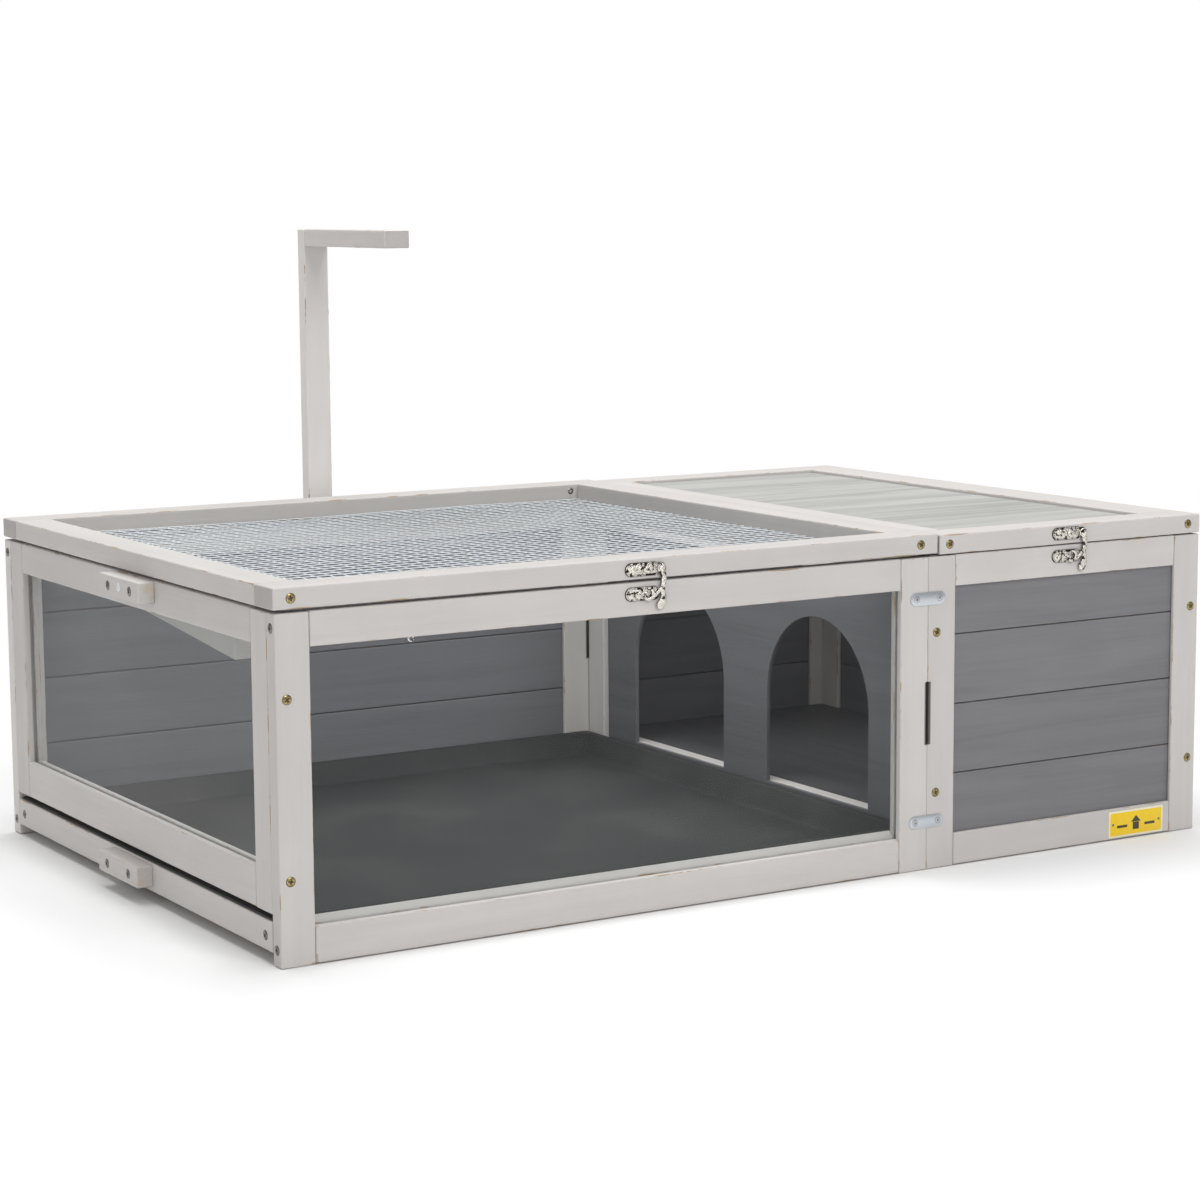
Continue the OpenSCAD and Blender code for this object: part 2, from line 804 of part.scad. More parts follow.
// Lamp post and arm
module lamp_post() {
    color(grey_paint) place()
        upright(post_x, post_x + post_w, post_y, post_y + post_t, post_foot, post_top);
}
module lamp_arm() {
    color(grey_paint) place()
        along_y(post_x, post_x + post_w, arm_front, post_y, post_top - arm_t, post_top);
}
module lamp_spacers() {
    color(grey_paint) place() for (z = [post_foot + 10, rail_top_z - spacer_h + 18])
        upright(post_x, post_x + post_w, body_d, post_y, z, z + spacer_h);
}

run_front_left_stile();
run_front_right_stile();
run_front_top_rail();
run_front_bottom_rail();
run_front_pane();
run_side_stiles();
run_side_rails();
run_side_pane();
inner_batten();
carry_handle();
carry_handle_screws();
run_back_stiles();
run_back_rails();
run_back_planks();
divider_stiles();
divider_rails();
divider_panel();
house_front_left_stile();
house_front_right_stile();
house_front_top_rail();
house_front_bottom_rail();
house_front_planks();
house_side_stiles();
house_side_rails();
house_side_planks();
house_back_stiles();
house_back_rails();
house_back_planks();
house_floor();
tray_runners();
drawer_front();
drawer_rails();
drawer_bottom();
drawer_handle();
drawer_screws();
run_liner();
run_lid_long_rails();
run_lid_side_rails();
run_lid_mesh();
run_lid_screws();
house_lid_long_rails();
house_lid_side_rails();
house_lid_boards();
house_lid_screws();
run_latch_plate();
run_latch_hook();
house_latch_plate();
house_latch_hook();
latch_keepers();
hinge_fixed_leaves();
run_lid_hinge_leaves();
house_lid_hinge_leaves();
hinge_pins();
joining_straps();
frame_screws();
end_screws();
label_plate();
lamp_post();
lamp_arm();
lamp_spacers();
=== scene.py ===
# %% [markdown]
# # A low wooden pet house, piece by piece
# This lesson dresses a finished CAD frame. The frame holds every size, place and joint, so nothing
# here is measured by hand: each board, screw and wire asks the frame where it goes.

# %% Load the frame
import json
import math

import bpy
import numpy as np
from mathutils import Matrix, Vector


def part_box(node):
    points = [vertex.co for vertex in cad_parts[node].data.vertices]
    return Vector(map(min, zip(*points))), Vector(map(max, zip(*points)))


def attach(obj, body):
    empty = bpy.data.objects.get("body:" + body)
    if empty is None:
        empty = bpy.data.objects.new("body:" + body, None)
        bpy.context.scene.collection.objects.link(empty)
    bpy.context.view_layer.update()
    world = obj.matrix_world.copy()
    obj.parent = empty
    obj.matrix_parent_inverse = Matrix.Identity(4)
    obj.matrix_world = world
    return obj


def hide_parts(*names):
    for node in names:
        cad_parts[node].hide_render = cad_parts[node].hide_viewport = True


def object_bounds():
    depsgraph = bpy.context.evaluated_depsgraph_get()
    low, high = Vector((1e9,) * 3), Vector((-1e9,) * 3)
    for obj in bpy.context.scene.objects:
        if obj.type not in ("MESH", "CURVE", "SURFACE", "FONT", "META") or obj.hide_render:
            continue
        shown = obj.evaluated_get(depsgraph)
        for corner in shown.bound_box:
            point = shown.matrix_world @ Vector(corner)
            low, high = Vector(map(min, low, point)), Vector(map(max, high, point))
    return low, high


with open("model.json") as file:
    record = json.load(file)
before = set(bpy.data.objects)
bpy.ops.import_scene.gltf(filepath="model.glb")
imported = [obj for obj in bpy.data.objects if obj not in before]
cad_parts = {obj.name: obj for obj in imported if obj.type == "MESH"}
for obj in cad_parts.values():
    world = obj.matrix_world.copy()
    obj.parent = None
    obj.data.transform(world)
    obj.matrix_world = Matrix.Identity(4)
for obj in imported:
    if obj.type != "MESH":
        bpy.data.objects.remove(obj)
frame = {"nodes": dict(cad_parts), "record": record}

cad_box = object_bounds()
body_of_node = {n: b for b, nodes in frame["record"]["behaviour"]["bodies"].items() for n in nodes}

# %% [markdown]
# ## Where things are
# Some nodes are several solids, such as the four planks of a wall. To build each one again we need
# its own box. Corners that lie in the same spot belong together, and so do the corners of one
# triangle. If every corner keeps taking the lowest label in its triangles, each solid ends with one label.

# %% Boxes of the solids in a node
MM = 0.001
MICRON_DIGITS = 6
BOX_DIGITS = 4
AXES = {"X": (0, 1, 2), "Y": (1, 2, 0), "Z": (2, 0, 1)}


def box_of(name):
    """A node's box as two arrays, low and high."""
    return tuple(np.array(v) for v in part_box(name))


def solids(name):
    """Boxes (low, high) of a node's separate solids, ordered by height, then depth, then length."""
    mesh = frame["nodes"][name].data
    places = np.empty(len(mesh.vertices) * 3)
    mesh.vertices.foreach_get("co", places)
    mesh.calc_loop_triangles()
    corners = np.empty(len(mesh.loop_triangles) * 3, int)
    mesh.loop_triangles.foreach_get("vertices", corners)
    spots, spot_of = np.unique(places.reshape(-1, 3).round(MICRON_DIGITS), axis=0, return_inverse=True)
    triangles = spot_of.reshape(-1)[corners].reshape(-1, 3)
    labels = np.arange(len(spots))
    settled = False
    while not settled:
        lowest = labels.copy()
        np.minimum.at(lowest, triangles, labels[triangles].min(axis=1)[:, None])
        lowest = lowest[lowest]
        settled = np.array_equal(lowest, labels)
        labels = lowest
    boxes = [(spots[labels == k].min(axis=0), spots[labels == k].max(axis=0)) for k in np.unique(labels)]
    return sorted(boxes, key=lambda b: tuple(b[0][[2, 1, 0]].round(BOX_DIGITS)))


print("back wall of the run:", len(solids("run_back_planks")), "planks")

# %% [markdown]
# ## The camera and the light
# The view is from the front left, a little above the lids, through a long lens, which keeps the
# upright edges nearly parallel. It stands at a place measured from the front left foot of the body.
# The light is a white room: soft from everywhere, with large lamps over the top and in front, so the
# tops are brightest, the front is next and the left end is in half shade. Two weak lamps inside stand
# for the light that white paint throws about in there.

# %% Camera
foot = box_of("run_front_left_stile")[0] * (1, 1, 0)
CAMERA_FROM_FOOT = np.array([-0.943, -2.0471, 0.6036])
CAMERA_YAW, CAMERA_PITCH, CAMERA_ROLL = (math.radians(a) for a in (-31.143, -7.937, -0.397))
CAMERA_LENS = 88.05
SENSOR = 36.0


def turn(axis, angle):
    """The 4x4 matrix of a turn about an axis."""
    return Matrix.Rotation(angle, 4, axis)


camera = bpy.data.objects.new("camera", bpy.data.cameras.new("camera"))
bpy.context.scene.collection.objects.link(camera)
camera.data.lens, camera.data.sensor_width = CAMERA_LENS, SENSOR
camera.matrix_world = (turn("Z", CAMERA_YAW) @ turn("X", CAMERA_PITCH) @ turn("X", math.pi / 2)
                       @ turn("Z", CAMERA_ROLL))
camera.location = foot + CAMERA_FROM_FOOT
bpy.context.scene.camera = camera
bpy.context.scene.view_settings.view_transform = "Standard"
print("camera at", [round(c, 3) for c in camera.location])

# %% Lamps and room
ROOM_LIGHT = 0.40
LAMPS_AIM = Vector((0, 0, 0.15))
INSIDE_BELOW = 1.0
LAMPS = {
    "key": dict(at=(0.0, -3.8, 3.0), size=2.4, watts=76.0),
    "overhead": dict(at=(0.1, 0.4, 3.2), size=2.6, watts=88.0),
    "left_fill": dict(at=(-3.4, -0.6, 1.6), size=1.8, watts=8.0),
    "run_glow": dict(at=(-0.04, -0.03, 0.262), size=0.42, watts=0.5),
    "house_glow": dict(at=(0.33, 0.0, 0.262), size=0.22, watts=0.23),
}


def soft_lamp(name, at, size, watts):
    """A square lamp that shines at the middle of the house, or straight down from inside it. The ones
    inside aren't seen in mirrors either."""
    outside = at[2] > INSIDE_BELOW
    data = bpy.data.lights.new(name, "AREA")
    data.size, data.energy = size, watts
    lamp = bpy.data.objects.new(name, data)
    lamp.location = at
    if outside:
        lamp.rotation_euler = (LAMPS_AIM - Vector(at)).to_track_quat("-Z", "Y").to_euler()
    lamp.visible_camera = False
    lamp.visible_glossy = outside
    bpy.context.scene.collection.objects.link(lamp)


def white_room(strength):
    """A world that lights with one strength and is seen as plain white behind the object."""
    world = bpy.data.worlds.new("white_room")
    world.use_nodes = True
    tree = world.node_tree
    tree.nodes.clear()
    lighting, seen = (tree.nodes.new("ShaderNodeBackground") for _ in range(2))
    lighting.inputs["Strength"].default_value = strength
    for background in (lighting, seen):
        background.inputs["Color"].default_value = (1, 1, 1, 1)
    path, mix = tree.nodes.new("ShaderNodeLightPath"), tree.nodes.new("ShaderNodeMixShader")
    out = tree.nodes.new("ShaderNodeOutputWorld")
    tree.links.new(path.outputs["Is Camera Ray"], mix.inputs[0])
    tree.links.new(lighting.outputs[0], mix.inputs[1])
    tree.links.new(seen.outputs[0], mix.inputs[2])
    tree.links.new(mix.outputs[0], out.inputs[0])
    bpy.context.scene.world = world


for lamp_name, settings in LAMPS.items():
    soft_lamp(lamp_name, **settings)
white_room(ROOM_LIGHT)
print("lamps:", ", ".join(LAMPS))

# %% [markdown]
# ## Meshes out of arrays
# Every new piece is a set of points worked out as whole arrays. A *shell* is a stack of closed loops
# with the same number of points: neighbours in a loop and in the stack make the four-sided faces, and
# one flat face closes each end. A *bundle* collects several shells so that they become one piece.

# %% Shells and bundles


def loop_faces(loops, points):
    """Faces of a stack of closed loops: point j of loop i joins j + 1 and the same two on loop i + 1."""
    i, j = np.meshgrid(np.arange(loops - 1), np.arange(points), indexing="ij")
    here, beside = i * points + j, i * points + (j + 1) % points
    return np.stack([here, beside, beside + points, here + points], axis=-1).reshape(-1, 4)


class Bundle:
    """Shells that become one mesh, with a vector and a few numbers kept for each point."""

    def __init__(self):
        self.places, self.faces, self.facts = [], [], {"place": [], "wear": [], "tone": []}
        self.kinds, self.count = [], 0

    def add(self, stack, place=None, wear=None, tone=0.0, joined=False, kind=0):
        """Adds stack, an array (loops, points, 3). joined closes the stack into a ring, and kind says
        which of the piece's materials it takes."""
        loops, points = stack.shape[:2]
        faces = loop_faces(loops + joined, points) % (loops * points)
        rows = (faces + self.count).tolist()
        if not joined:
            rows.append((np.arange(points)[::-1] + self.count).tolist())
            rows.append((np.arange(points) + (loops - 1) * points + self.count).tolist())
        flat = stack.reshape(-1, 3)
        self.add_faces(flat, rows, flat if place is None else place.reshape(-1, 3),
                       np.zeros(len(flat)) if wear is None else wear.reshape(-1), tone, kind)

    def add_faces(self, points, rows, place, wear, tone, kind):
        """Adds points (n, 3) and faces whose numbers already count from the bundle's first point."""
        self.faces += rows
        self.kinds += [kind] * len(rows)
        self.places.append(points)
        self.facts["place"].append(place)
        self.facts["wear"].append(wear)
        self.facts["tone"].append(np.full(len(points), tone))
        self.count += len(points)

    def piece(self, name, *materials, sharp=35.0):
        """Makes the object, with smooth faces that stay sharp where they meet at more than an angle."""
        mesh = bpy.data.meshes.new(name)
        mesh.from_pydata(np.concatenate(self.places).tolist(), [], self.faces)
        for fact, kind, field in (("place", "FLOAT_VECTOR", "vector"), ("wear", "FLOAT", "value"),
                                  ("tone", "FLOAT", "value")):
            layer = mesh.attributes.new(fact, kind, "POINT")
            layer.data.foreach_set(field, np.concatenate(self.facts[fact]).astype(np.float32).ravel())
        mesh.polygons.foreach_set("material_index", np.array(self.kinds, np.int32))
        mesh.polygons.foreach_set("use_smooth", np.ones(len(mesh.polygons), bool))
        mesh.set_sharp_from_angle(angle=math.radians(sharp))
        for material in materials:
            mesh.materials.append(material)
        made = bpy.data.objects.new(name, mesh)
        bpy.context.scene.collection.objects.link(made)
        return made


def goes_with(piece, node):
    """piece rides with the node's body."""
    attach(piece, body_of_node[node])


def stands_for(piece, node):
    """piece rides with the node's body and is shown in the node's place, which is hidden."""
    goes_with(piece, node)
    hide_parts(node)


# %% [markdown]
# ## Finishes
# The timber is sawn fir with a thin coat of paint, so the grain still shows: long streaks, finer
# lines that can be felt, and edges where sanding has gone through to the wood. One node group holds
# this effect, and each painted or stained wood gets its own colours and amounts. It reads a place
# kept in every board, which runs along the grain whichever way the board lies, a wear-and-shade number
# that is 1 on a sharp edge, 0 on a flat and below 0 where shade is painted in at joint gaps and the
# seam slot, and a tone that holds a random spread plus painted light or shade set for each node.

# %% Short forms for shader nodes


def add_node(tree, kind, settings=None, **inputs):
    """A new node: settings are its own switches, inputs are numbers, colours or sockets by name."""
    made = tree.nodes.new(kind)
    for key, value in (settings or {}).items():
        setattr(made, key, value)
    for key, value in inputs.items():
        socket = made.inputs[int(key[1:]) if key[1:].isdigit() else key.replace("_", " ")]
        if isinstance(value, bpy.types.NodeSocket):
            tree.links.new(value, socket)
        else:
            socket.default_value = value
    return made


def maths(tree, operation, a, b, c=0.0):
    """The result socket of one sum, such as MULTIPLY or SUBTRACT."""
    return add_node(tree, "ShaderNodeMath", {"operation": operation}, i0=a, i1=b, i2=c).outputs[0]


def stretched(tree, vector, scale):
    """vector with each of its three parts multiplied."""
    return add_node(tree, "ShaderNodeVectorMath", {"operation": "MULTIPLY"}, i0=vector, i1=scale).outputs[0]


def noise(tree, vector, scale, detail=3.0, roughness=0.55, distortion=0.0):
    """The grey value of a noise texture."""
    return add_node(tree, "ShaderNodeTexNoise", None, Vector=vector, Scale=scale, Detail=detail,
                    Roughness=roughness, Distortion=distortion).outputs[0]


def between(tree, value, low, high):
    """value moved so that low is 0 and high is 1, with soft ends."""
    return add_node(tree, "ShaderNodeMapRange", {"interpolation_type": "SMOOTHSTEP"}, i0=value,
                    i1=low, i2=high).outputs[0]


def mixed(tree, amount, first, second, how="MIX"):
    """The colour between two colours."""
    return add_node(tree, "ShaderNodeMix", {"data_type": "RGBA", "blend_type": how},
                    i0=amount, i6=first, i7=second).outputs[2]


def object_place(tree):
    """The place on the object itself, in metres."""
    return add_node(tree, "ShaderNodeTexCoord").outputs["Object"]


def kept(tree, fact, part="Fac"):
    """A number or a vector that the piece keeps at its points."""
    return add_node(tree, "ShaderNodeAttribute", {"attribute_name": fact}).outputs[part]


def group(name, inputs, outputs):
    """An empty node group with named sockets: (group, its inputs, its outputs)."""
    made = bpy.data.node_groups.new(name, "ShaderNodeTree")
    for label, kind in inputs.items():
        made.interface.new_socket(label, in_out="INPUT", socket_type=kind)
    for label, kind in outputs.items():
        made.interface.new_socket(label, in_out="OUTPUT", socket_type=kind)
    return made, made.nodes.new("NodeGroupInput").outputs, made.nodes.new("NodeGroupOutput").inputs


# %% The coated timber group
REAL, COLOUR, ARROW = "NodeSocketFloat", "NodeSocketColor", "NodeSocketVector"
BANDS, LINES, PORES = (3.0, 42.0, 42.0), (9.0, 330.0, 330.0), (90.0, 1500.0, 1500.0)
PATCHES, CHIPS = 14.0, (26.0, 90.0, 90.0)
# Painted shade: the near-black the coat turns to where the wear-and-shade number is below 0.
PAINTED_GAP_SHADE = (0.02, 0.016, 0.012, 1)
TIMBER_GLOSS = 0.35


def make_timber_group():
    """Streaks are noise stretched along the grain. The coat is darker in the streaks, the board's tone,
    a random spread plus painted light or shade set for each node, lifts or lowers it, and bare wood
    shows where the wear is more than a patchy limit. A value below 0 is painted shade: the coat goes
    near black in joint gaps and in the seam slot."""
    made, given, result = group(
        "coated_timber",
        {"Place": ARROW, "Wear": REAL, "Tone": REAL, "Coat": COLOUR, "Streak": COLOUR, "Bare": COLOUR,
         "Streaks": REAL, "Worn": REAL},
        {"Color": COLOUR, "Roughness": REAL, "Height": REAL})
    bands = noise(made, stretched(made, given["Place"], BANDS), 1.0, 3.0, 0.5, 0.8)
    lines = noise(made, stretched(made, given["Place"], LINES), 1.0, 4.0, 0.6, 0.3)
    pores = noise(made, stretched(made, given["Place"], PORES), 1.0, 2.0, 0.5)
    patches = noise(made, given["Place"], PATCHES, 3.0, 0.6)
    grain = maths(made, "MULTIPLY", between(made, bands, 0.38, 0.66),
                  maths(made, "MULTIPLY_ADD", lines, 0.9, 0.1))
    dark = maths(made, "MULTIPLY", maths(made, "ADD", grain, maths(made, "MULTIPLY", lines, 0.35)),
                 given["Streaks"])
    coat = mixed(made, dark, given["Coat"], given["Streak"])
    # The lift holds each node's painted light or shade, its random spread and soft patches.
    lift = maths(made, "ADD", maths(made, "ADD", given["Tone"], 1.0),
                 maths(made, "MULTIPLY_ADD", patches, 0.12, -0.06))
    coat = mixed(made, 1.0, coat, add_node(made, "ShaderNodeCombineColor", None, i0=lift, i1=lift,
                                           i2=lift).outputs[0], "MULTIPLY")
    chipping = noise(made, stretched(made, given["Place"], CHIPS), 1.0, 4.0, 0.65)
    rubbed = between(made, chipping, 0.46, 0.72)
    limit = maths(made, "SUBTRACT", 1.06, maths(made, "MULTIPLY", given["Worn"], rubbed))
    bare = between(made, maths(made, "SUBTRACT", given["Wear"], limit), 0.0, 0.3)
    # Painted shade: below 0 the coat is mixed towards near black.
    painted_shade = maths(made, "MAXIMUM", maths(made, "MULTIPLY", given["Wear"], -1.0), 0.0)
    coat = mixed(made, maths(made, "MULTIPLY", painted_shade, 0.75), coat, PAINTED_GAP_SHADE)
    made.links.new(mixed(made, bare, coat, given["Bare"]), result["Color"])
    made.links.new(maths(made, "ADD", maths(made, "MULTIPLY_ADD", lines, 0.22, 0.44),
                         maths(made, "MULTIPLY", bare, 0.2)), result["Roughness"])
    made.links.new(maths(made, "ADD", maths(made, "MULTIPLY", lines, 0.6),
                         maths(made, "MULTIPLY", pores, 0.5)), result["Height"])
    return made


TIMBER_GROUP = make_timber_group()


def new_material(name):
    """(material, its tree, its principled shader)."""
    made = bpy.data.materials.new(name)
    made.use_nodes = True
    return made, made.node_tree, made.node_tree.nodes["Principled BSDF"]


def coat_with(tree, shader, colour, roughness):
    """Gives the shader its colour and its roughness."""
    tree.links.new(colour, shader.inputs["Base Color"])
    tree.links.new(roughness, shader.inputs["Roughness"])


def show(tree, shader):
    """Makes this shader the one that the material shows."""
    out = next(n for n in tree.nodes if n.type == "OUTPUT_MATERIAL")
    tree.links.new(shader.outputs[0], out.inputs["Surface"])


def relief(tree, shader, height, depth, reach=1.0):
    """height, a grey value, is felt on the surface to that depth in metres."""
    bump = add_node(tree, "ShaderNodeBump", None, Height=height, Distance=depth, Strength=reach)
    tree.links.new(bump.outputs[0], shader.inputs["Normal"])


TIMBER_FELT = 0.00022


def coated_timber(name, coat, streak, bare, streaks, worn, from_object=None):
    """A painted or stained wood. from_object is the grain's direction for a CAD node, which keeps no
    place of its own: its object place is then used, turned so that its first part runs along the grain."""
    made, tree, shader = new_material(name)
    if from_object is None:
        place, wear, tone = kept(tree, "place", "Vector"), kept(tree, "wear"), kept(tree, "tone")
    else:
        parts = add_node(tree, "ShaderNodeSeparateXYZ", None, Vector=object_place(tree)).outputs
        x, y, z = (parts[k] for k in AXES[from_object])
        place = add_node(tree, "ShaderNodeCombineXYZ", None, X=x, Y=y, Z=z).outputs[0]
        wear, tone = 0.0, 0.0
    effect = add_node(tree, "ShaderNodeGroup", {"node_tree": TIMBER_GROUP}, Place=place, Wear=wear, Tone=tone,
                      Coat=(*coat, 1), Streak=(*streak, 1), Bare=(*bare, 1), Streaks=streaks, Worn=worn)
    coat_with(tree, shader, effect.outputs["Color"], effect.outputs["Roughness"])
    relief(tree, shader, effect.outputs["Height"], TIMBER_FELT)
    shader.inputs["Specular IOR Level"].default_value = TIMBER_GLOSS
    return made


# %% Wood finishes
FIR, DARK_FIR, PALE_FIR = (0.42, 0.30, 0.19), (0.26, 0.20, 0.14), (0.60, 0.52, 0.42)
warm_grey = coated_timber("warm_grey_paint", (0.60, 0.575, 0.555), (0.50, 0.475, 0.455), FIR, 0.4, 0.58)
slate = coated_timber("slate_paint", (0.205, 0.205, 0.218), (0.145, 0.145, 0.155), DARK_FIR, 0.6, 0.5)
board_stain = coated_timber("pale_board_stain", (0.48, 0.485, 0.46), (0.27, 0.275, 0.255), FIR, 0.75, 0.3)
handle_wood = coated_timber("handle_wood", (0.62, 0.595, 0.575), (0.50, 0.46, 0.42), PALE_FIR, 0.6, 0.8)
bare_ply = coated_timber("bare_ply", (0.46, 0.36, 0.25), (0.36, 0.26, 0.16), FIR, 0.7, 0.0, from_object="X")
slate_floor = coated_timber("slate_floor", (0.13, 0.13, 0.135), (0.09, 0.09, 0.095), FIR, 0.6, 0.0,
                            from_object="Y")
# Painted shade: the dark ring round each screw head stands for the shade in its countersink.
painted_sink_shade = coated_timber("painted_screw_sink_shade", (0.10, 0.075, 0.045), (0.05, 0.035, 0.02), FIR, 0.8, 0.0,
                          from_object="Z")
print("woods:", [m.name for m in (warm_grey, slate, board_stain, handle_wood, bare_ply, slate_floor)])

# %% [markdown]
# ## Metals, plastic and the clear sheets
# Plated metal is never even: the plating clouds, and fingers and tools leave fine scratches. One
# group gives clouds for the colour and the roughness. The tray is black moulded plastic with a fine
# leather-like grain. A clear sheet is a little mirror in front of a hole: it reflects more at a
# slant, and lets the lamps through, so that the inside of the run is lit.

# %% The plating group
SCRATCHES = (900.0, 900.0, 9000.0)


def make_plating_group():
    """Clouds are soft noise. Scratches are very stretched noise. Both move the roughness, and the
    clouds move the colour between two metal tints."""
    made, given, result = group("plating", {"Scale": REAL, "Bright": COLOUR, "Dull": COLOUR, "Rough": REAL},
                                {"Color": COLOUR, "Roughness": REAL, "Height": REAL})
    spot = object_place(made)
    clouds = noise(made, spot, given["Scale"], 4.0, 0.6)
    scratches = noise(made, stretched(made, spot, SCRATCHES), 1.0, 2.0, 0.5)
    made.links.new(mixed(made, between(made, clouds, 0.35, 0.68), given["Bright"], given["Dull"]),
                   result["Color"])
    made.links.new(maths(made, "ADD", given["Rough"], maths(made, "MULTIPLY_ADD", clouds, 0.3, -0.12)),
                   result["Roughness"])
    made.links.new(maths(made, "ADD", scratches, clouds), result["Height"])
    return made


PLATING_GROUP = make_plating_group()


def plated(name, bright, dull, rough, scale, felt=0.00003, metallic=1.0):
    """A plated metal with its own tints and roughness."""
    made, tree, shader = new_material(name)
    effect = add_node(tree, "ShaderNodeGroup", {"node_tree": PLATING_GROUP}, Scale=scale, Bright=(*bright, 1),
                      Dull=(*dull, 1), Rough=rough)
    coat_with(tree, shader, effect.outputs["Color"], effect.outputs["Roughness"])
    shader.inputs["Metallic"].default_value = metallic
    relief(tree, shader, effect.outputs["Height"], felt)
    return made


bright_zinc = plated("bright_zinc", (0.66, 0.69, 0.73), (0.50, 0.54, 0.59), 0.3, 1500.0)
dull_zinc = plated("dull_zinc", (0.36, 0.34, 0.32), (0.12, 0.11, 0.10), 0.34, 800.0)
yellow_zinc = plated("yellow_zinc", (0.50, 0.41, 0.21), (0.20, 0.14, 0.05), 0.26, 700.0)
galvanised = plated("galvanised_wire", (0.93, 0.97, 1.0), (0.74, 0.78, 0.82), 0.28, 240.0, 0.00003, 0.25)

# %% Cast nickel
# Painted shade and dark reflection on nickel: the near-black mixed in on sides, recesses and hollows.
PAINTED_SHADE_ON_NICKEL = (0.030, 0.025, 0.02, 1)
ORNAMENT_SCALE, ORNAMENT_SHADE_STRENGTH = 280.0, 0.8
CASTING_FELT = 0.00022


def make_cast_nickel():
    """The plating where the casting stands proud and faces out, and painted shade, standing in for shade
    and dark reflections, where the wear-and-shade number is near 0 and where the cast ornament, drawn
    by noise, has its hollows."""
    made, tree, shader = new_material("cast_nickel")
    effect = add_node(tree, "ShaderNodeGroup", {"node_tree": PLATING_GROUP}, Scale=700.0,
                      Bright=(0.93, 0.90, 0.84, 1), Dull=(0.66, 0.61, 0.53, 1), Rough=0.1)
    # Painted shade in the ornament's noise hollows, taken off the raised-and-lit number.
    ornament_shade = between(tree, noise(tree, object_place(tree), ORNAMENT_SCALE, 2.0, 0.5), 0.5, 0.6)
    raised_and_lit = maths(tree, "SUBTRACT", kept(tree, "wear"), maths(tree, "MULTIPLY", ornament_shade, ORNAMENT_SHADE_STRENGTH))
    coat_with(tree, shader, mixed(tree, between(tree, raised_and_lit, 0.12, 0.7), PAINTED_SHADE_ON_NICKEL, effect.outputs["Color"]),
              effect.outputs["Roughness"])
    shader.inputs["Metallic"].default_value = 1.0
    relief(tree, shader, effect.outputs["Height"], CASTING_FELT)
    return made


nickel = make_cast_nickel()

# %% Black plastic
PEBBLES, PEBBLE_FELT = 900.0, 0.00022
CLEAN_PLASTIC, DUSTY_PLASTIC = (0.052, 0.052, 0.053, 1), (0.074, 0.073, 0.072, 1)


def make_tray_plastic():
    """Near black, with a fine pebbled grain made of small cells, and dustier patches."""
    made, tree, shader = new_material("tray_plastic")
    spot = object_place(tree)
    cells = add_node(tree, "ShaderNodeTexVoronoi", None, Vector=spot, Scale=PEBBLES).outputs["Distance"]
    dust = between(tree, noise(tree, spot, 7.0, 6.0, 0.62), 0.42, 0.75)
    coat_with(tree, shader, mixed(tree, dust, CLEAN_PLASTIC, DUSTY_PLASTIC),
              maths(tree, "MULTIPLY_ADD", dust, 0.15, 0.56))
    relief(tree, shader, cells, PEBBLE_FELT, 0.7)
    shader.inputs["Specular IOR Level"].default_value = 0.16
    return made


tray_plastic = make_tray_plastic()

# %% Clear sheet
SHEET_TINT = (0.955, 0.965, 0.965, 1)
SHEET_IOR = 1.15


def make_clear_sheet():
    """A Fresnel mix of a clear hole and a sharp mirror, with faint smears in the mirror's roughness. Only
    the face that is met first is a mirror, because the light isn't bent inside the sheet."""
    made, tree, shader = new_material("clear_sheet")
    tree.nodes.remove(shader)
    smears = between(tree, noise(tree, object_place(tree), 9.0, 5.0, 0.6), 0.5, 0.8)
    smears = maths(tree, "MULTIPLY_ADD", smears, 0.07, 0.01)
    hole = add_node(tree, "ShaderNodeBsdfTransparent", None, Color=SHEET_TINT)
    mirror = add_node(tree, "ShaderNodeBsdfGlossy", None, Color=(1, 1, 1, 1), Roughness=smears)
    slant = add_node(tree, "ShaderNodeFresnel", None, IOR=SHEET_IOR).outputs[0]
    behind = add_node(tree, "ShaderNodeNewGeometry").outputs["Backfacing"]
    outside = maths(tree, "MULTIPLY", slant, maths(tree, "SUBTRACT", 1.0, behind))
    show(tree, add_node(tree, "ShaderNodeMixShader", None, i0=outside, i1=hole.outputs[0],
                        i2=mirror.outputs[0]))
    return made


clear_sheet = make_clear_sheet()

# %% Label enamel
RIM_WIDE, RIM_FROM = 0.07, 0.43
WALLS_WIDE, WALLS_MIDDLE, WALLS_HIGH = 0.15, 0.37, 0.14
ROOF_TOP, EAVES = 0.76, 0.52
BAR_FROM, BAR_TO, BAR_MIDDLE, BAR_HIGH = 0.42, 0.92, 0.4, 0.05
YELLOW, SCUFFED_YELLOW = (0.93, 0.66, 0.012, 1), (0.86, 0.56, 0.01, 1)
MARK_INK, LABEL_RIM = (0.05, 0.04, 0.02, 1), (0.85, 0.80, 0.62, 1)


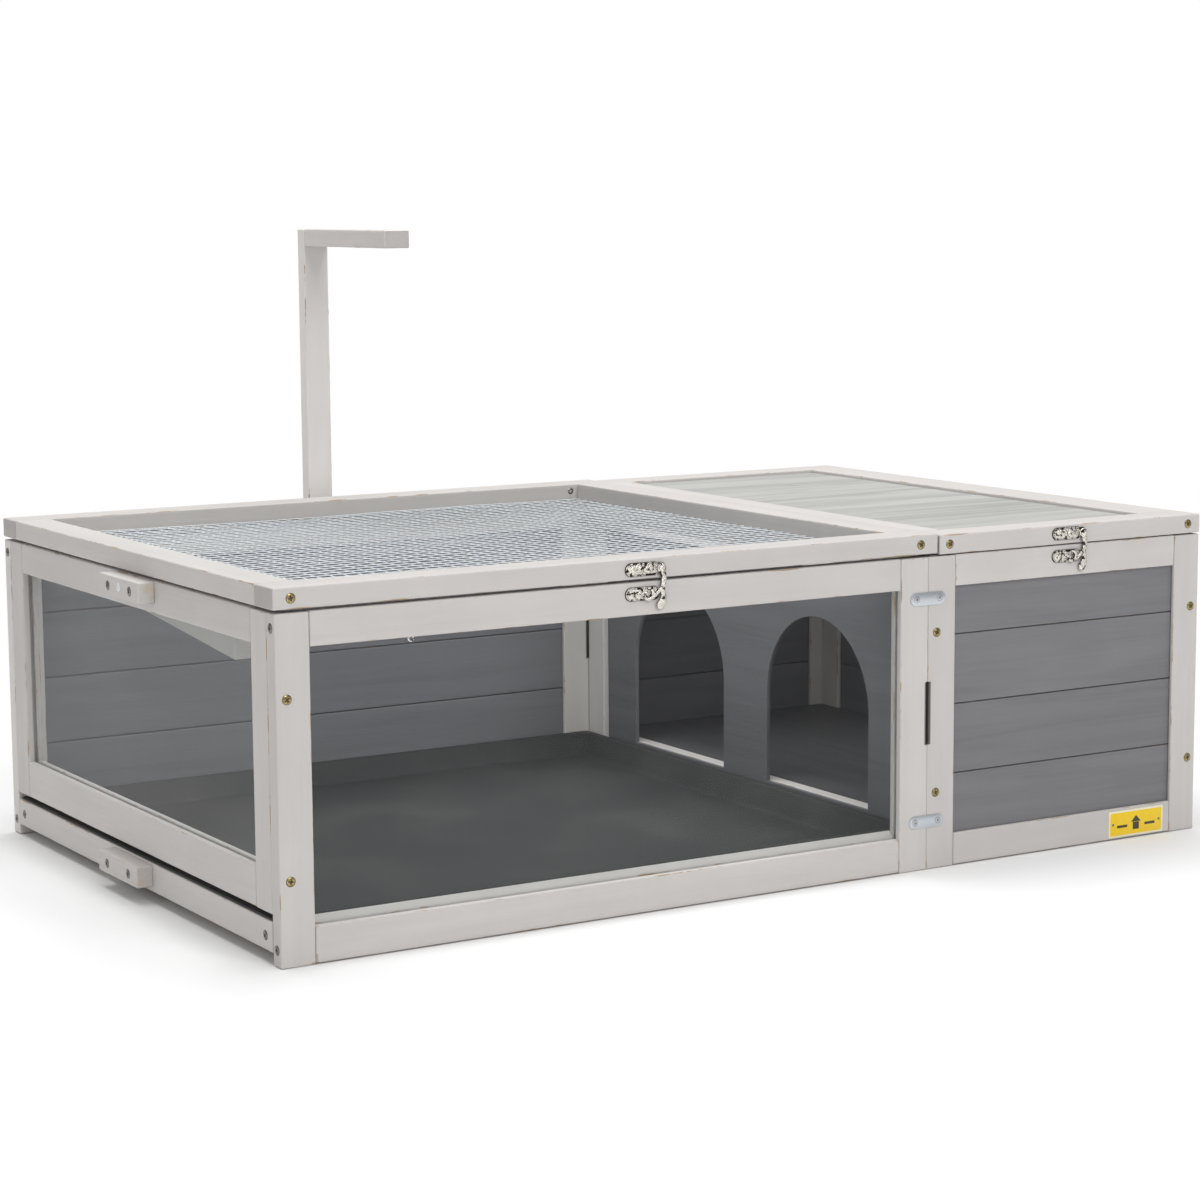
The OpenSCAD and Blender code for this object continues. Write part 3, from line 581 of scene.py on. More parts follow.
def make_label_enamel(low, high):
    """Yellow with a white rim and a small dark house mark, all worked out from the place on the plate.
    Across is 0 to 1 along the plate and up is 0 to 1 up it: the rim is where either is near an end,
    the mark's walls are a square, and its roof is where up is under a line that falls to both sides."""
    made, tree, shader = new_material("label_enamel")

    def sums(operation, a, b=0.0):
        return maths(tree, operation, a, b)

    def off(value, middle):
        return sums("ABSOLUTE", sums("SUBTRACT", value, middle))

    parts = add_node(tree, "ShaderNodeSeparateXYZ", None, Vector=object_place(tree)).outputs
    width, height = high.x - low.x, high.z - low.z
    across = sums("DIVIDE", sums("SUBTRACT", parts[0], low.x), width)
    up = sums("DIVIDE", sums("SUBTRACT", parts[2], low.z), height)
    aside = sums("MULTIPLY", off(across, 0.5), width / height)
    rim = sums("MAXIMUM", sums("GREATER_THAN", aside, width / height / 2 - RIM_WIDE),
               sums("GREATER_THAN", off(up, 0.5), RIM_FROM))
    walls = sums("MULTIPLY", sums("LESS_THAN", aside, WALLS_WIDE),
                 sums("LESS_THAN", off(up, WALLS_MIDDLE), WALLS_HIGH))
    below_ridge = sums("LESS_THAN", sums("ADD", up, aside), ROOF_TOP)
    roof = sums("MULTIPLY", below_ridge, sums("GREATER_THAN", up, EAVES))
    bar_reach = sums("MULTIPLY", sums("GREATER_THAN", aside, BAR_FROM), sums("LESS_THAN", aside, BAR_TO))
    bars = sums("MULTIPLY", sums("LESS_THAN", off(up, BAR_MIDDLE), BAR_HIGH), bar_reach)
    mark = sums("MAXIMUM", sums("MAXIMUM", walls, roof), bars)
    scuffs = noise(tree, object_place(tree), 160.0, 4.0, 0.6)
    colour = mixed(tree, mark, mixed(tree, scuffs, YELLOW, SCUFFED_YELLOW), MARK_INK)
    coat_with(tree, shader, mixed(tree, rim, colour, LABEL_RIM),
              maths(tree, "MULTIPLY_ADD", scuffs, 0.2, 0.22))
    return made


print("other finishes are ready")

# %% [markdown]
# ## Boards
# A real board is never a sharp box: its long edges are eased and its sawn ends are slightly broken.
# The board is a cross-section carried along a line. The cross-section is a polygon whose corners are
# turned into short curves, and a groove for a pane or for planks is simply more corners. The groove is
# not typed in: it is wherever the sheet's box reaches into the board's box.

# %% Cross-sections
EASE = 1.3 * MM
EASE_STEPS = 4
FLAT_MARGIN = 2.6 * MM
GROOVE_SLACK = 0.2 * MM
GROOVE_FLOOR = 1.0 * MM


def eased_outline(corners, ease):
    """Each corner P becomes a curve between points A and B on its two sides, at distance ease:
    (1 - t)^2 A + 2 t (1 - t) P + t^2 B. A flat margin is kept beside it, so that wear, which is 1 in
    the middle of the curve, fades out over the margin and not over the whole face."""
    corners = np.asarray(corners, float)
    back, ahead = np.roll(corners, 1, axis=0) - corners, np.roll(corners, -1, axis=0) - corners
    back_length, ahead_length = (np.linalg.norm(v, axis=1, keepdims=True) for v in (back, ahead))
    back, ahead = back / back_length, ahead / ahead_length
    reach = np.minimum(ease, 0.3 * np.minimum(back_length, ahead_length))
    margin_back, margin_ahead = (np.minimum(reach + FLAT_MARGIN, 0.45 * v)
                                 for v in (back_length, ahead_length))
    t = np.linspace(0, 1, EASE_STEPS)[None, :, None]
    start, end = (corners + back * reach)[:, None], (corners + ahead * reach)[:, None]
    curve = (1 - t) ** 2 * start + 2 * t * (1 - t) * corners[:, None] + t ** 2 * end
    rows = np.concatenate([(corners + back * margin_back)[:, None], curve,
                           (corners + ahead * margin_ahead)[:, None]], axis=1)
    cross = back[:, 0] * ahead[:, 1] - back[:, 1] * ahead[:, 0]
    sticks_out = (cross < 0).astype(float)[:, None]
    wear = np.concatenate([np.zeros((len(corners), 1)), sticks_out * (0.55 + 1.8 * (t * (1 - t))[0, :, 0]),
                           np.zeros((len(corners), 1))], axis=1)
    return rows.reshape(-1, 2), wear.reshape(-1)


def section_corners(low, high, groove, lowered):
    """Corners of a board's section, anticlockwise. groove is (side, start, end, depth): side 0 is low b,
    1 is high a, 2 is high b, 3 is low a. lowered = (edge, drop) lowers the high b side where a < edge."""
    (a0, b0), (a1, b1) = low, high
    sides = [[(a0, b0)], [(a1, b0)], [(a1, b1)], [(a0, b1)]]
    if groove is not None:
        side, start, end, depth = groove
        cuts = {0: [(start, b0), (start, b0 + depth), (end, b0 + depth), (end, b0)],
                1: [(a1, start), (a1 - depth, start), (a1 - depth, end), (a1, end)],
                2: [(end, b1), (end, b1 - depth), (start, b1 - depth), (start, b1)],
                3: [(a0, end), (a0 + depth, end), (a0 + depth, start), (a0, start)]}
        sides[side] = sides[side] + cuts[side]
    corners = np.array([c for side in sides for c in side])
    if lowered is not None:
        edge, drop = lowered
        corners[(corners[:, 0] < edge + MM / 100) & (corners[:, 1] > b1 - MM / 100), 1] -= drop
    return corners


def groove_for(low, high, axis, sheet):
    """Where the sheet's box enters the board's section: None, or (side, start, end, depth)."""
    a, b = AXES[axis][1:]
    sheet_low, sheet_high = sheet
    if np.any(np.minimum(high, sheet_high) - np.maximum(low, sheet_low) <= MM / 10):
        return None
    thin, wide = (a, b) if sheet_high[a] - sheet_low[a] < sheet_high[b] - sheet_low[b] else (b, a)
    start, end = sheet_low[thin] - GROOVE_SLACK, sheet_high[thin] + GROOVE_SLACK
    from_high = sheet_high[wide] > high[wide]
    depth = (high[wide] - sheet_low[wide] if from_high else sheet_high[wide] - low[wide]) + GROOVE_FLOOR
    side = {(a, True): 1, (a, False): 3, (b, True): 2, (b, False): 0}[(wide, bool(from_high))]
    return side, start, end, depth


# %% One board
SAWN_END = 0.7 * MM
JOINT_GAP = 0.3 * MM
# Sawn ends and the seam slot go below 0 and get painted shade; sanded handle ends go bare.
END_SHADE, SLOT_SHADE, SANDED_END = -0.3, -1.1, 1.0
GRAIN_SPREAD, TONE_SPREAD = 40, 0.035
rng = np.random.default_rng(7)


def add_board(bundle, low, high, axis, groove=None, lowered=None, relief_slot=None, corners=None,
              grain=None, tone=0.0, end_mark=END_SHADE):
    """Adds a board to a bundle. Its loops stand at the two ends, just inside them and, if there is a
    relief slot (side of a, from, to, depth), round the slot, where that side's points move in."""
    along, a, b = AXES[axis]
    low, high = np.array(low, float), np.array(high, float)
    low[along], high[along] = low[along] + JOINT_GAP, high[along] - JOINT_GAP
    if corners is None:
        corners = section_corners(low[[a, b]], high[[a, b]], groove, lowered)
    outline, wear = eased_outline(corners, EASE)
    ends = [low[along], low[along] + SAWN_END, low[along] + SAWN_END + FLAT_MARGIN]
    stations = ends + [low[along] + high[along] - s for s in ends[::-1]]
    if relief_slot is not None:
        slot_side, slot_from, slot_to, slot_depth = relief_slot
        stations = np.sort(stations + [slot_from, slot_from + MM, slot_to - MM, slot_to])
    stations = np.asarray(stations)
    middle = (outline.min(axis=0) + outline.max(axis=0)) / 2
    shrink = np.ones((len(stations), 1, 2))
    half = (outline.max(axis=0) - outline.min(axis=0)) / 2
    shrink[[0, -1]] = 1 - SAWN_END / half
    loops = middle + (outline - middle)[None] * shrink
    if relief_slot is not None:
        inside = (stations > slot_from + MM / 2) & (stations < slot_to - MM / 2)
        edge = middle[0] + slot_side * half[0]
        near = np.abs(outline[:, 0] - edge) < EASE
        loops[:, :, 0] -= slot_side * slot_depth * inside[:, None] * near[None, :]
    stack = np.empty((len(stations), len(outline), 3))
    stack[:, :, along] = stations[:, None]
    stack[:, :, [a, b]] = loops
    end_wear = np.zeros(len(stations))
    end_wear[[1, -2]] = 0.9
    all_wear_and_shade = np.maximum(wear[None, :], end_wear[:, None])
    # Painted shade on the sawn ends and in the seam slot, unless the ends are sanded.
    all_wear_and_shade[[0, -1]] = end_mark
    if relief_slot is not None:
        all_wear_and_shade[inside[:, None] & near[None, :]] = SLOT_SHADE
    order = [along, a, b] if grain is None else list(AXES[grain])
    place = (stack - low)[:, :, order] + rng.uniform(-GRAIN_SPREAD, GRAIN_SPREAD, 3)
    bundle.add(stack, place, all_wear_and_shade, tone + rng.uniform(-TONE_SPREAD, TONE_SPREAD))


# %% [markdown]
# ## Planks that fit into each other
# Planks are not just laid on top of each other, or light would shine through between them. One edge
# has a tongue and the next plank has a groove for it. Only a dark line is seen of this joint.

# %% Tongue and groove
SEAM = 0.42 * MM
TONGUE, TONGUE_THICK, TONGUE_SLACK = 3.4 * MM, 2.0 * MM, 0.25 * MM


def plank_corners(low, high, axis, is_first, is_last):
    """Corners of a plank's section: a rectangle across its thickness and width, with a tongue on the
    low edge unless it is the first plank, and a groove in the high edge unless it is the last."""
    a, b = AXES[axis][1:]
    thin, wide = (a, b) if high[a] - low[a] < high[b] - low[b] else (b, a)
    t0, t1 = low[thin], high[thin]
    w0, w1 = low[wide] + SEAM, high[wide] - SEAM
    middle, half, slack = (t0 + t1) / 2, TONGUE_THICK / 2, TONGUE_SLACK
    tongue = [] if is_first else [(middle - half, w0), (middle - half, w0 - TONGUE),
                                  (middle + half, w0 - TONGUE), (middle + half, w0)]
    groove = [] if is_last else [(middle + half + slack, w1), (middle + half + slack, w1 - TONGUE - MM),
                                 (middle - half - slack, w1 - TONGUE - MM), (middle - half - slack, w1)]
    corners = np.array([(t0, w0)] + tongue + [(t1, w0), (t1, w1)] + groove + [(t0, w1)])
    return corners if thin == a else corners[::-1, ::-1]


# %% [markdown]
# ## Every board of the hutch
# One table says how each node's boards lie, which sheet is let into them and which finish they get.
# Each wall is a frame of uprights and rails with a pane or planks in its grooves. The two modules
# meet front and back, and there the uprights have a shallow slot whose painted shade shows as a dark line.

# %% The table of boards
SLOT_HEIGHTS = np.array([113.0, 171.0]) * MM
SLOT_DEPTH = 1.4 * MM
SEAM_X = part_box("house_front_left_stile")[0].x
LIP_DROP = 6.5 * MM
GREY_BOARDS = {
    "run_front_left_stile": ("Z", "run_front_pane"), "run_front_right_stile": ("Z", "run_front_pane"),
    "run_front_top_rail": ("X", "run_front_pane"), "run_front_bottom_rail": ("X", "run_front_pane"),
    "run_side_stiles": ("Z", "run_side_pane"), "run_side_rails": ("Y", "run_side_pane"),
    "run_back_stiles": ("Z", "run_back_planks"), "run_back_rails": ("X", "run_back_planks"),
    "divider_stiles": ("Z", "divider_panel"), "divider_rails": ("Y", "divider_panel"),
    "house_front_left_stile": ("Z", "house_front_planks"),
    "house_front_right_stile": ("Z", "house_front_planks"),
    "house_front_top_rail": ("X", "house_front_planks"),
    "house_front_bottom_rail": ("X", "house_front_planks"),
    "house_side_stiles": ("Z", "house_side_planks"), "house_side_rails": ("Y", "house_side_planks"),
    "house_back_stiles": ("Z", "house_back_planks"), "house_back_rails": ("X", "house_back_planks"),
    "run_lid_long_rails": ("X", None), "run_lid_side_rails": ("Y", None),
    "house_lid_long_rails": ("X", None), "house_lid_side_rails": ("Y", None),
    "drawer_front": ("Y", None), "lamp_post": ("Z", None), "lamp_arm": ("Y", None),
    "lamp_spacers": ("Z", None),
}
OTHER_BOARDS = {
    "run_back_planks": ("X", slate), "house_front_planks": ("X", slate), "house_back_planks": ("X", slate),
    "house_side_planks": ("Y", slate), "house_lid_boards": ("X", board_stain),
    "carry_handle": ("Y", handle_wood), "drawer_handle": ("Y", handle_wood),
}
PLANKED = {"run_back_planks": 2, "house_front_planks": 2, "house_back_planks": 2, "house_side_planks": 2,
           "house_lid_boards": 1}
# Painted light and shade: each node's brightness is raised or lowered for light the lamps don't give it.
PAINTED_LIGHT_TONES = {"run_back_stiles": 0.2, "run_back_planks": 0.08, "lamp_post": 0.36, "lamp_arm": 0.14,
         "divider_rails": 0.3, "divider_stiles": 0.3, "run_lid_long_rails": -0.05, "drawer_front": 0.06}
DRAWER_CLEARANCE = 0.6 * MM
WITH_RELIEF = {"run_front_right_stile", "run_back_stiles", "house_front_left_stile", "house_back_stiles"}


def relief_beside_seam(node, low, high):
    """The relief slot of an upright that touches the line where the modules meet."""
    if node not in WITH_RELIEF:
        return None
    for side, edge in ((1, high[0]), (-1, low[0])):
        if abs(edge - SEAM_X) < MM:
            return side, *SLOT_HEIGHTS, SLOT_DEPTH
    return None


def boards_of(node, axis, sheet, material):
    """The piece for a node whose solids are all boards along one axis."""
    bundle = Bundle()
    boards = solids(node)
    if node in PLANKED:
        boards.sort(key=lambda box: box[0][PLANKED[node]])
    for k, (low, high) in enumerate(boards):
        corners = plank_corners(low, high, axis, k == 0, k == len(boards) - 1) if node in PLANKED else None
        groove = None if sheet is None else groove_for(low, high, axis, box_of(sheet))
        lowered = (groove[2], LIP_DROP) if node == "run_front_bottom_rail" else None
        if node == "run_side_rails" and k == 0:
            low[2] += DRAWER_CLEARANCE
        add_board(bundle, low, high, axis, groove, lowered, relief_beside_seam(node, low, high), corners,
                  tone=PAINTED_LIGHT_TONES.get(node, 0.0), end_mark=SANDED_END if material is handle_wood else END_SHADE)
    stands_for(bundle.piece(node + "_timber", material), node)


for node, (axis, sheet) in GREY_BOARDS.items():
    boards_of(node, axis, sheet, warm_grey)
for node, (axis, material) in OTHER_BOARDS.items():
    boards_of(node, axis, None, material)
print("boards:", len(GREY_BOARDS) + len(OTHER_BOARDS), "pieces")

# %% [markdown]
# ## The tapered batten
# A batten inside the left wall is deep at the front end and shallow at the back. Its section is the
# tapered outline itself, carried across its thickness, with the grain turned to run along it.

# %% Batten
BATTEN_DEEP, BATTEN_SHALLOW, BATTEN_FLAT = 48 * MM, 29 * MM, 16 * MM
low, high = box_of("inner_batten")
batten_corners = [(low[1], high[2] - BATTEN_DEEP), (high[1] - BATTEN_FLAT, high[2] - BATTEN_SHALLOW),
                  (high[1], high[2] - BATTEN_SHALLOW), (high[1], high[2]), (low[1], high[2])]
batten = Bundle()
add_board(batten, low, high, "X", corners=batten_corners, grain="Y")
stands_for(batten.piece("inner_batten_timber", warm_grey), "inner_batten")

# %% [markdown]
# ## Panes and hidden boards
# A pane is a flat sheet and the boards under the tray are hardly seen, so the frame's own shapes are
# good enough for them. They only get a finish.

# %% Clear panes and hidden boards
for node, material in {"run_front_pane": clear_sheet, "run_side_pane": clear_sheet,
                       "drawer_rails": bare_ply, "drawer_bottom": bare_ply, "tray_runners": bare_ply,
                       "house_floor": slate_floor}.items():
    node_mesh = frame["nodes"][node].data
    node_mesh.materials.clear()
    node_mesh.materials.append(material)
    print(node, "is finished with", material.name)

# %% [markdown]
# ## The divider's panel
# The panel is one thin board with two arched doorways. Its face is made from loops round each arch:
# an arch is a half circle on two straight sides, and a cut edge is slightly eased. The panel is
# built in halves, one for each doorway, and each half is a plate with one hole: a ring of points on
# the arch is joined to a ring of points on the rectangle round it.

# %% Panel with arches
ARCH_RADIUS = 82 * MM
ARCH_OFFSET = 120 * MM
SILL_TOP = 36 * MM
ARCH_TOP = 206 * MM
PANEL_EASE, PANEL_MARGIN = 0.5 * MM, 2 * MM
ARCH_POINTS, SILL_POINTS = 49, 9
PANEL_WEAR, PANEL_GRAIN = 0.55, 11.0


def arch_loop(middle, radius, foot, count):
    """Points along an open arch from its right foot, up, over and down to its left foot:
    straight sides up to the springing line, then middle + radius (cos t, sin t)."""
    spring = ARCH_TOP - ARCH_RADIUS
    t = np.linspace(0, math.pi, count)
    side = np.linspace(foot, spring, count // 3)[:-1]
    right = np.stack([np.full_like(side, middle + radius), side], axis=1)
    left = np.stack([np.full_like(side, middle - radius), side[::-1]], axis=1)
    over = np.stack([middle + radius * np.cos(t), spring + radius * np.sin(t)], axis=1)
    return np.concatenate([right, over, left])


def arched_half(bundle, y_from, y_to, middle, x_from, x_to, z_from, z_to):
    """A plate round one doorway. Each point of the inner loop has a partner on the outer frame: the ray
    from the arch's middle through it, carried on to the frame. Front face, outer edge, back face and
    inner edge follow each other, and the stack closes into a ring."""
    inner = arch_loop(middle, ARCH_RADIUS, SILL_TOP, ARCH_POINTS)
    foot_points = np.linspace(1, 0, SILL_POINTS)[1:-1, None]
    foot = inner[-1] + (inner[0] - inner[-1]) * (1 - foot_points)
    inner = np.concatenate([inner, foot])
    heart = np.array([middle, (SILL_TOP + ARCH_TOP) / 2])
    away = inner - heart
    room = np.where(away > 0, (y_to, z_to) - heart, heart - (y_from, z_from))
    outer = heart + away * (room / np.maximum(np.abs(away), 1e-9)).min(axis=1)[:, None]
    corners = np.array([(y_from, z_from), (y_to, z_from), (y_to, z_to), (y_from, z_to)])
    nearest = np.argmin(np.linalg.norm(outer[None] - corners[:, None], axis=2), axis=1)
    outer[nearest] = corners
    step = away / np.linalg.norm(away, axis=1, keepdims=True)
    eased, beside = inner + step * PANEL_EASE, inner + step * PANEL_MARGIN
    loops = [(x_from, outer), (x_from, beside), (x_from, eased), (x_from + PANEL_EASE, inner),
             (x_to - PANEL_EASE, inner), (x_to, eased), (x_to, beside), (x_to, outer)]
    stack = np.stack([np.column_stack([np.full(len(p), x), p]) for x, p in loops])
    wear = np.repeat(np.array([0, 0, 0.9, 1, 1, 0.9, 0, 0.0])[:, None], len(inner), axis=1)
    place = stack[:, :, [1, 2, 0]] + PANEL_GRAIN
    bundle.add(stack, place, wear * PANEL_WEAR, joined=True)


low, high = box_of("divider_panel")
centre_y = (low[1] + high[1]) / 2
panel = Bundle()
arched_half(panel, low[1], centre_y, centre_y - ARCH_OFFSET, low[0], high[0], low[2], high[2])
arched_half(panel, centre_y, high[1], centre_y + ARCH_OFFSET, low[0], high[0], low[2], high[2])
stands_for(panel.piece("divider_panel_board", slate), "divider_panel")
print("divider panel:", panel.count, "points")

# %% [markdown]
# ## Wire mesh
# The lid of the run is half-inch welded mesh. The wires of one layer run across and the wires of the
# other run along, and they are pressed together where they cross. Rolled mesh never lies flat, so all
# wires share one gentle wave, worked out from the place, and each wire wanders a little on its own.

# %% Wires
WIRE = 1.0 * MM
WIRE_SIDES = 6
WIRE_STEP = 9 * MM
BITE = 2.5 * MM
WAVE, SWAY, RIPPLE = 0.7 * MM, 0.35 * MM, 0.12 * MM
PRESSED = 0.86
ACROSS_THINNER = 0.9


def mesh_wave(x, y):
    """Height of the sheet of mesh over its mean: two long waves that cross at a slant."""
    return WAVE * (np.sin(17 * x + 9 * y) * 0.6 + np.sin(31 * y - 13 * x + 1.0) * 0.4)


def add_wires(bundle, low, high, along, layer):
    """A layer of wires: each wire's axis is a line of stations, and its surface is the axis plus
    radius (cos q, sin q) across it."""
    across = 1 - along
    positions = np.array([b[0][across] + WIRE / 2 for b in solids("run_lid_mesh")
                          if b[1][across] - b[0][across] < 2 * WIRE])
    start, end = low[along] - BITE, high[along] + BITE
    stations = np.linspace(start, end, int((end - start) / WIRE_STEP))
    q = np.linspace(0, 2 * math.pi, WIRE_SIDES, endpoint=False)
    wander = rng.uniform(0, 6.28, (len(positions), 2))
    for position, phase in zip(positions, wander):
        side = position + SWAY * np.sin(21 * stations + phase[0])
        x, y = (stations, side) if along == 0 else (side, stations)
        ripple = RIPPLE * np.sin(60 * stations + phase[1])
        z = low[2] + WIRE / 2 + layer * WIRE * PRESSED + mesh_wave(x, y) + ripple
        axis = np.stack([x, y, z], axis=1)
        ring = np.zeros((WIRE_SIDES, 3))
        thick = WIRE * (ACROSS_THINNER if along == 0 else 1.0) / 2
        ring[:, across], ring[:, 2] = np.cos(q) * thick, np.sin(q) * thick
        ring = ring[::-1] if along == 1 else ring
        bundle.add(axis[:, None] + ring[None])
    return len(positions)


low, high = box_of("run_lid_mesh")
wires = Bundle()
counts = [add_wires(wires, low, high, along, layer) for along, layer in ((1, 0), (0, 1))]
stands_for(wires.piece("run_lid_wires", galvanised), "run_lid_mesh")
print("mesh:", counts, "wires,", len(wires.faces), "faces")

# %% [markdown]
# ## The tray
# The tray is vacuum-formed sheet: a skirt, a flat rim, a sloped side and a flat floor with soft
# corners between them. Its rim lies over the front board, where it shows as a black line. The tray is a
# stack of rounded rectangles, each with its own inset, height and corner radius: from the floor up the
# slope, over the rim, down the skirt, and back underneath one sheet thickness lower.

# %% Rounded rectangles
CORNER_POINTS = 12


def rounded_rectangle(low, high, radius):
    """A closed loop round a rectangle, anticlockwise: a quarter circle round each corner's own centre."""
    t = np.linspace(0, math.pi / 2, CORNER_POINTS)
    centres = np.array([(high[0] - radius, high[1] - radius), (low[0] + radius, high[1] - radius),
                        (low[0] + radius, low[1] + radius), (high[0] - radius, low[1] + radius)])
    angles = t[None, :] + np.arange(4)[:, None] * math.pi / 2
    round_corner = np.stack([np.cos(angles), np.sin(angles)], axis=-1) * radius
    return (centres[:, None] + round_corner).reshape(-1, 2)


low, high = box_of("run_liner")
LIP_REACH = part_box("drawer_front")[1].x + 0.2 * MM - low[0]
TRAY_LEVELS = [
    (29.0, -20.0, 20, False), (25.5, -19.8, 18, False), (22.5, -18.6, 16, False), (20.5, -16.4, 15, False),
    (8.8, -1.6, 11, False), (7.6, -0.4, 10, False), (6.0, 0.0, 9, False), (1.6, 0.0, 5, True),
    (0.6, -0.3, 5, True), (0.2, -0.9, 5, True), (0.2, -1.9, 5, True), (0.3, -2.0, 5, False),
    (0.3, -11.5, 5, False), (1.9, -11.5, 5, False), (1.9, -2.2, 5, False), (6.6, -2.2, 9, False),
    (18.5, -18.2, 14, False), (24.5, -21.9, 18, False), (28.5, -22.2, 20, False)]


def tray_loop(inset, drop, radius, on_lip):
    """One level: a rounded rectangle at a height under the rim's top. Only levels on the lip reach out
    over the front board."""
    reach = np.array([0 if on_lip else LIP_REACH, 0])
    outline = rounded_rectangle(low[:2] + reach + inset * MM, high[:2] - inset * MM, radius * MM)
    return np.column_stack([outline, np.full(len(outline), high[2] + drop * MM)])


liner = Bundle()
liner.add(np.stack([tray_loop(*level) for level in TRAY_LEVELS])[::-1])
stands_for(liner.piece("run_liner_tray", tray_plastic), "run_liner")
print("tray:", len(TRAY_LEVELS), "loops")

# %% [markdown]
# ## Pressed plates
# Straps, latch plates, hinge leaves and the label are all plates with a shaped outline and a softened
# upper edge: the outline is repeated at a few heights, drawn in a little more each time. They are made
# flat, with the outline across and up and the height out of the page, and then turned to face the
# way their wall faces.

# %% Plates and turned parts
FACING = {"front": np.array([(1, 0, 0), (0, 0, 1), (0, -1, 0)], float),
          "back": np.array([(-1, 0, 0), (0, 0, 1), (0, 1, 0)], float),
          "left": np.array([(0, -1, 0), (0, 0, 1), (-1, 0, 0)], float),
          "right": np.array([(0, 1, 0), (0, 0, 1), (1, 0, 0)], float)}


def placed(flat, facing, at):
    """Turns points (across, up, out) to face a wall's way and moves them to their place."""
    return flat @ FACING[facing] + np.asarray(at, float)


def add_plate(bundle, outline, thickness, facing, at, soft=0.35 * MM, shine=1.0):
    """A plate from an outline (n, 2): loops at the back, the start of the soft edge and the top. shine is
    the wear-and-shade number of its top, which cast nickel shows as painted light."""
    middle = (outline.min(axis=0) + outline.max(axis=0)) / 2
    half = (outline.max(axis=0) - outline.min(axis=0)) / 2
    levels = [(0.0, 0.0), (0.0, thickness - soft), (soft * 0.35, thickness - soft * 0.3), (soft, thickness)]
    stack = np.stack([np.column_stack([middle + (outline - middle) * (1 - inset / half),
                                       np.full(len(outline), height)]) for inset, height in levels])
    # Painted light for cast nickel: the top is brighter than the back and the soft edge.
    raised_and_lit = np.repeat(np.array([0.0, 0.0, 0.5, 1.0])[:, None] * shine, len(outline), axis=1)
    bundle.add(placed(stack, facing, at), wear=raised_and_lit)


def add_turned(bundle, profile, facing, at, sides=28, kind=0):
    """A turned part: profile, (radius, height) pairs from back to front, is carried round a circle."""
    profile = np.asarray(profile, float)
    q = np.linspace(0, 2 * math.pi, sides, endpoint=False)
    ring = np.stack([np.cos(q), np.sin(q)], axis=1)
    heights = np.repeat(profile[:, None, 1:], sides, axis=1)
    stack = np.concatenate([profile[:, None, :1] * ring[None], heights], axis=2)
    # Painted light for cast nickel: the profile is darker at the back and brighter towards the front.
    raised_and_lit = np.repeat(np.linspace(0, 1, len(profile))[:, None] ** 0.7, sides, axis=1)
    bundle.add(placed(stack, facing, at), wear=raised_and_lit, kind=kind)


# %% [markdown]
# ## Screws
# A screw head is a shallow dome with a cross driven into it. The head is a square net of points that
# is pulled into a disc, because the net's lines then run along the arms of the cross and keep its
# walls crisp. Each screw stopped turning at its own angle.

# %% Cross-headed screws
HEAD_RADIUS, HEAD_HIGH = 3.75 * MM, 0.6 * MM
CROSS_DEPTH = 2.1 * MM
CROSS_HALF, CROSS_REACH = 0.19, 0.62
HEAD_BELOW = 2.6 * MM
SINK_WIDER = 0.45 * MM
HALF_NET = np.array([0.12, CROSS_HALF, 0.36, 0.54, CROSS_REACH, 0.84, 0.95, 1])
NET = np.concatenate([-HALF_NET[::-1], [0], HALF_NET])


def smooth(value):
    """0 below 0, 1 above 1 and 3 v^2 - 2 v^3 between."""
    value = np.clip(value, 0, 1)
    return value * value * (3 - 2 * value)


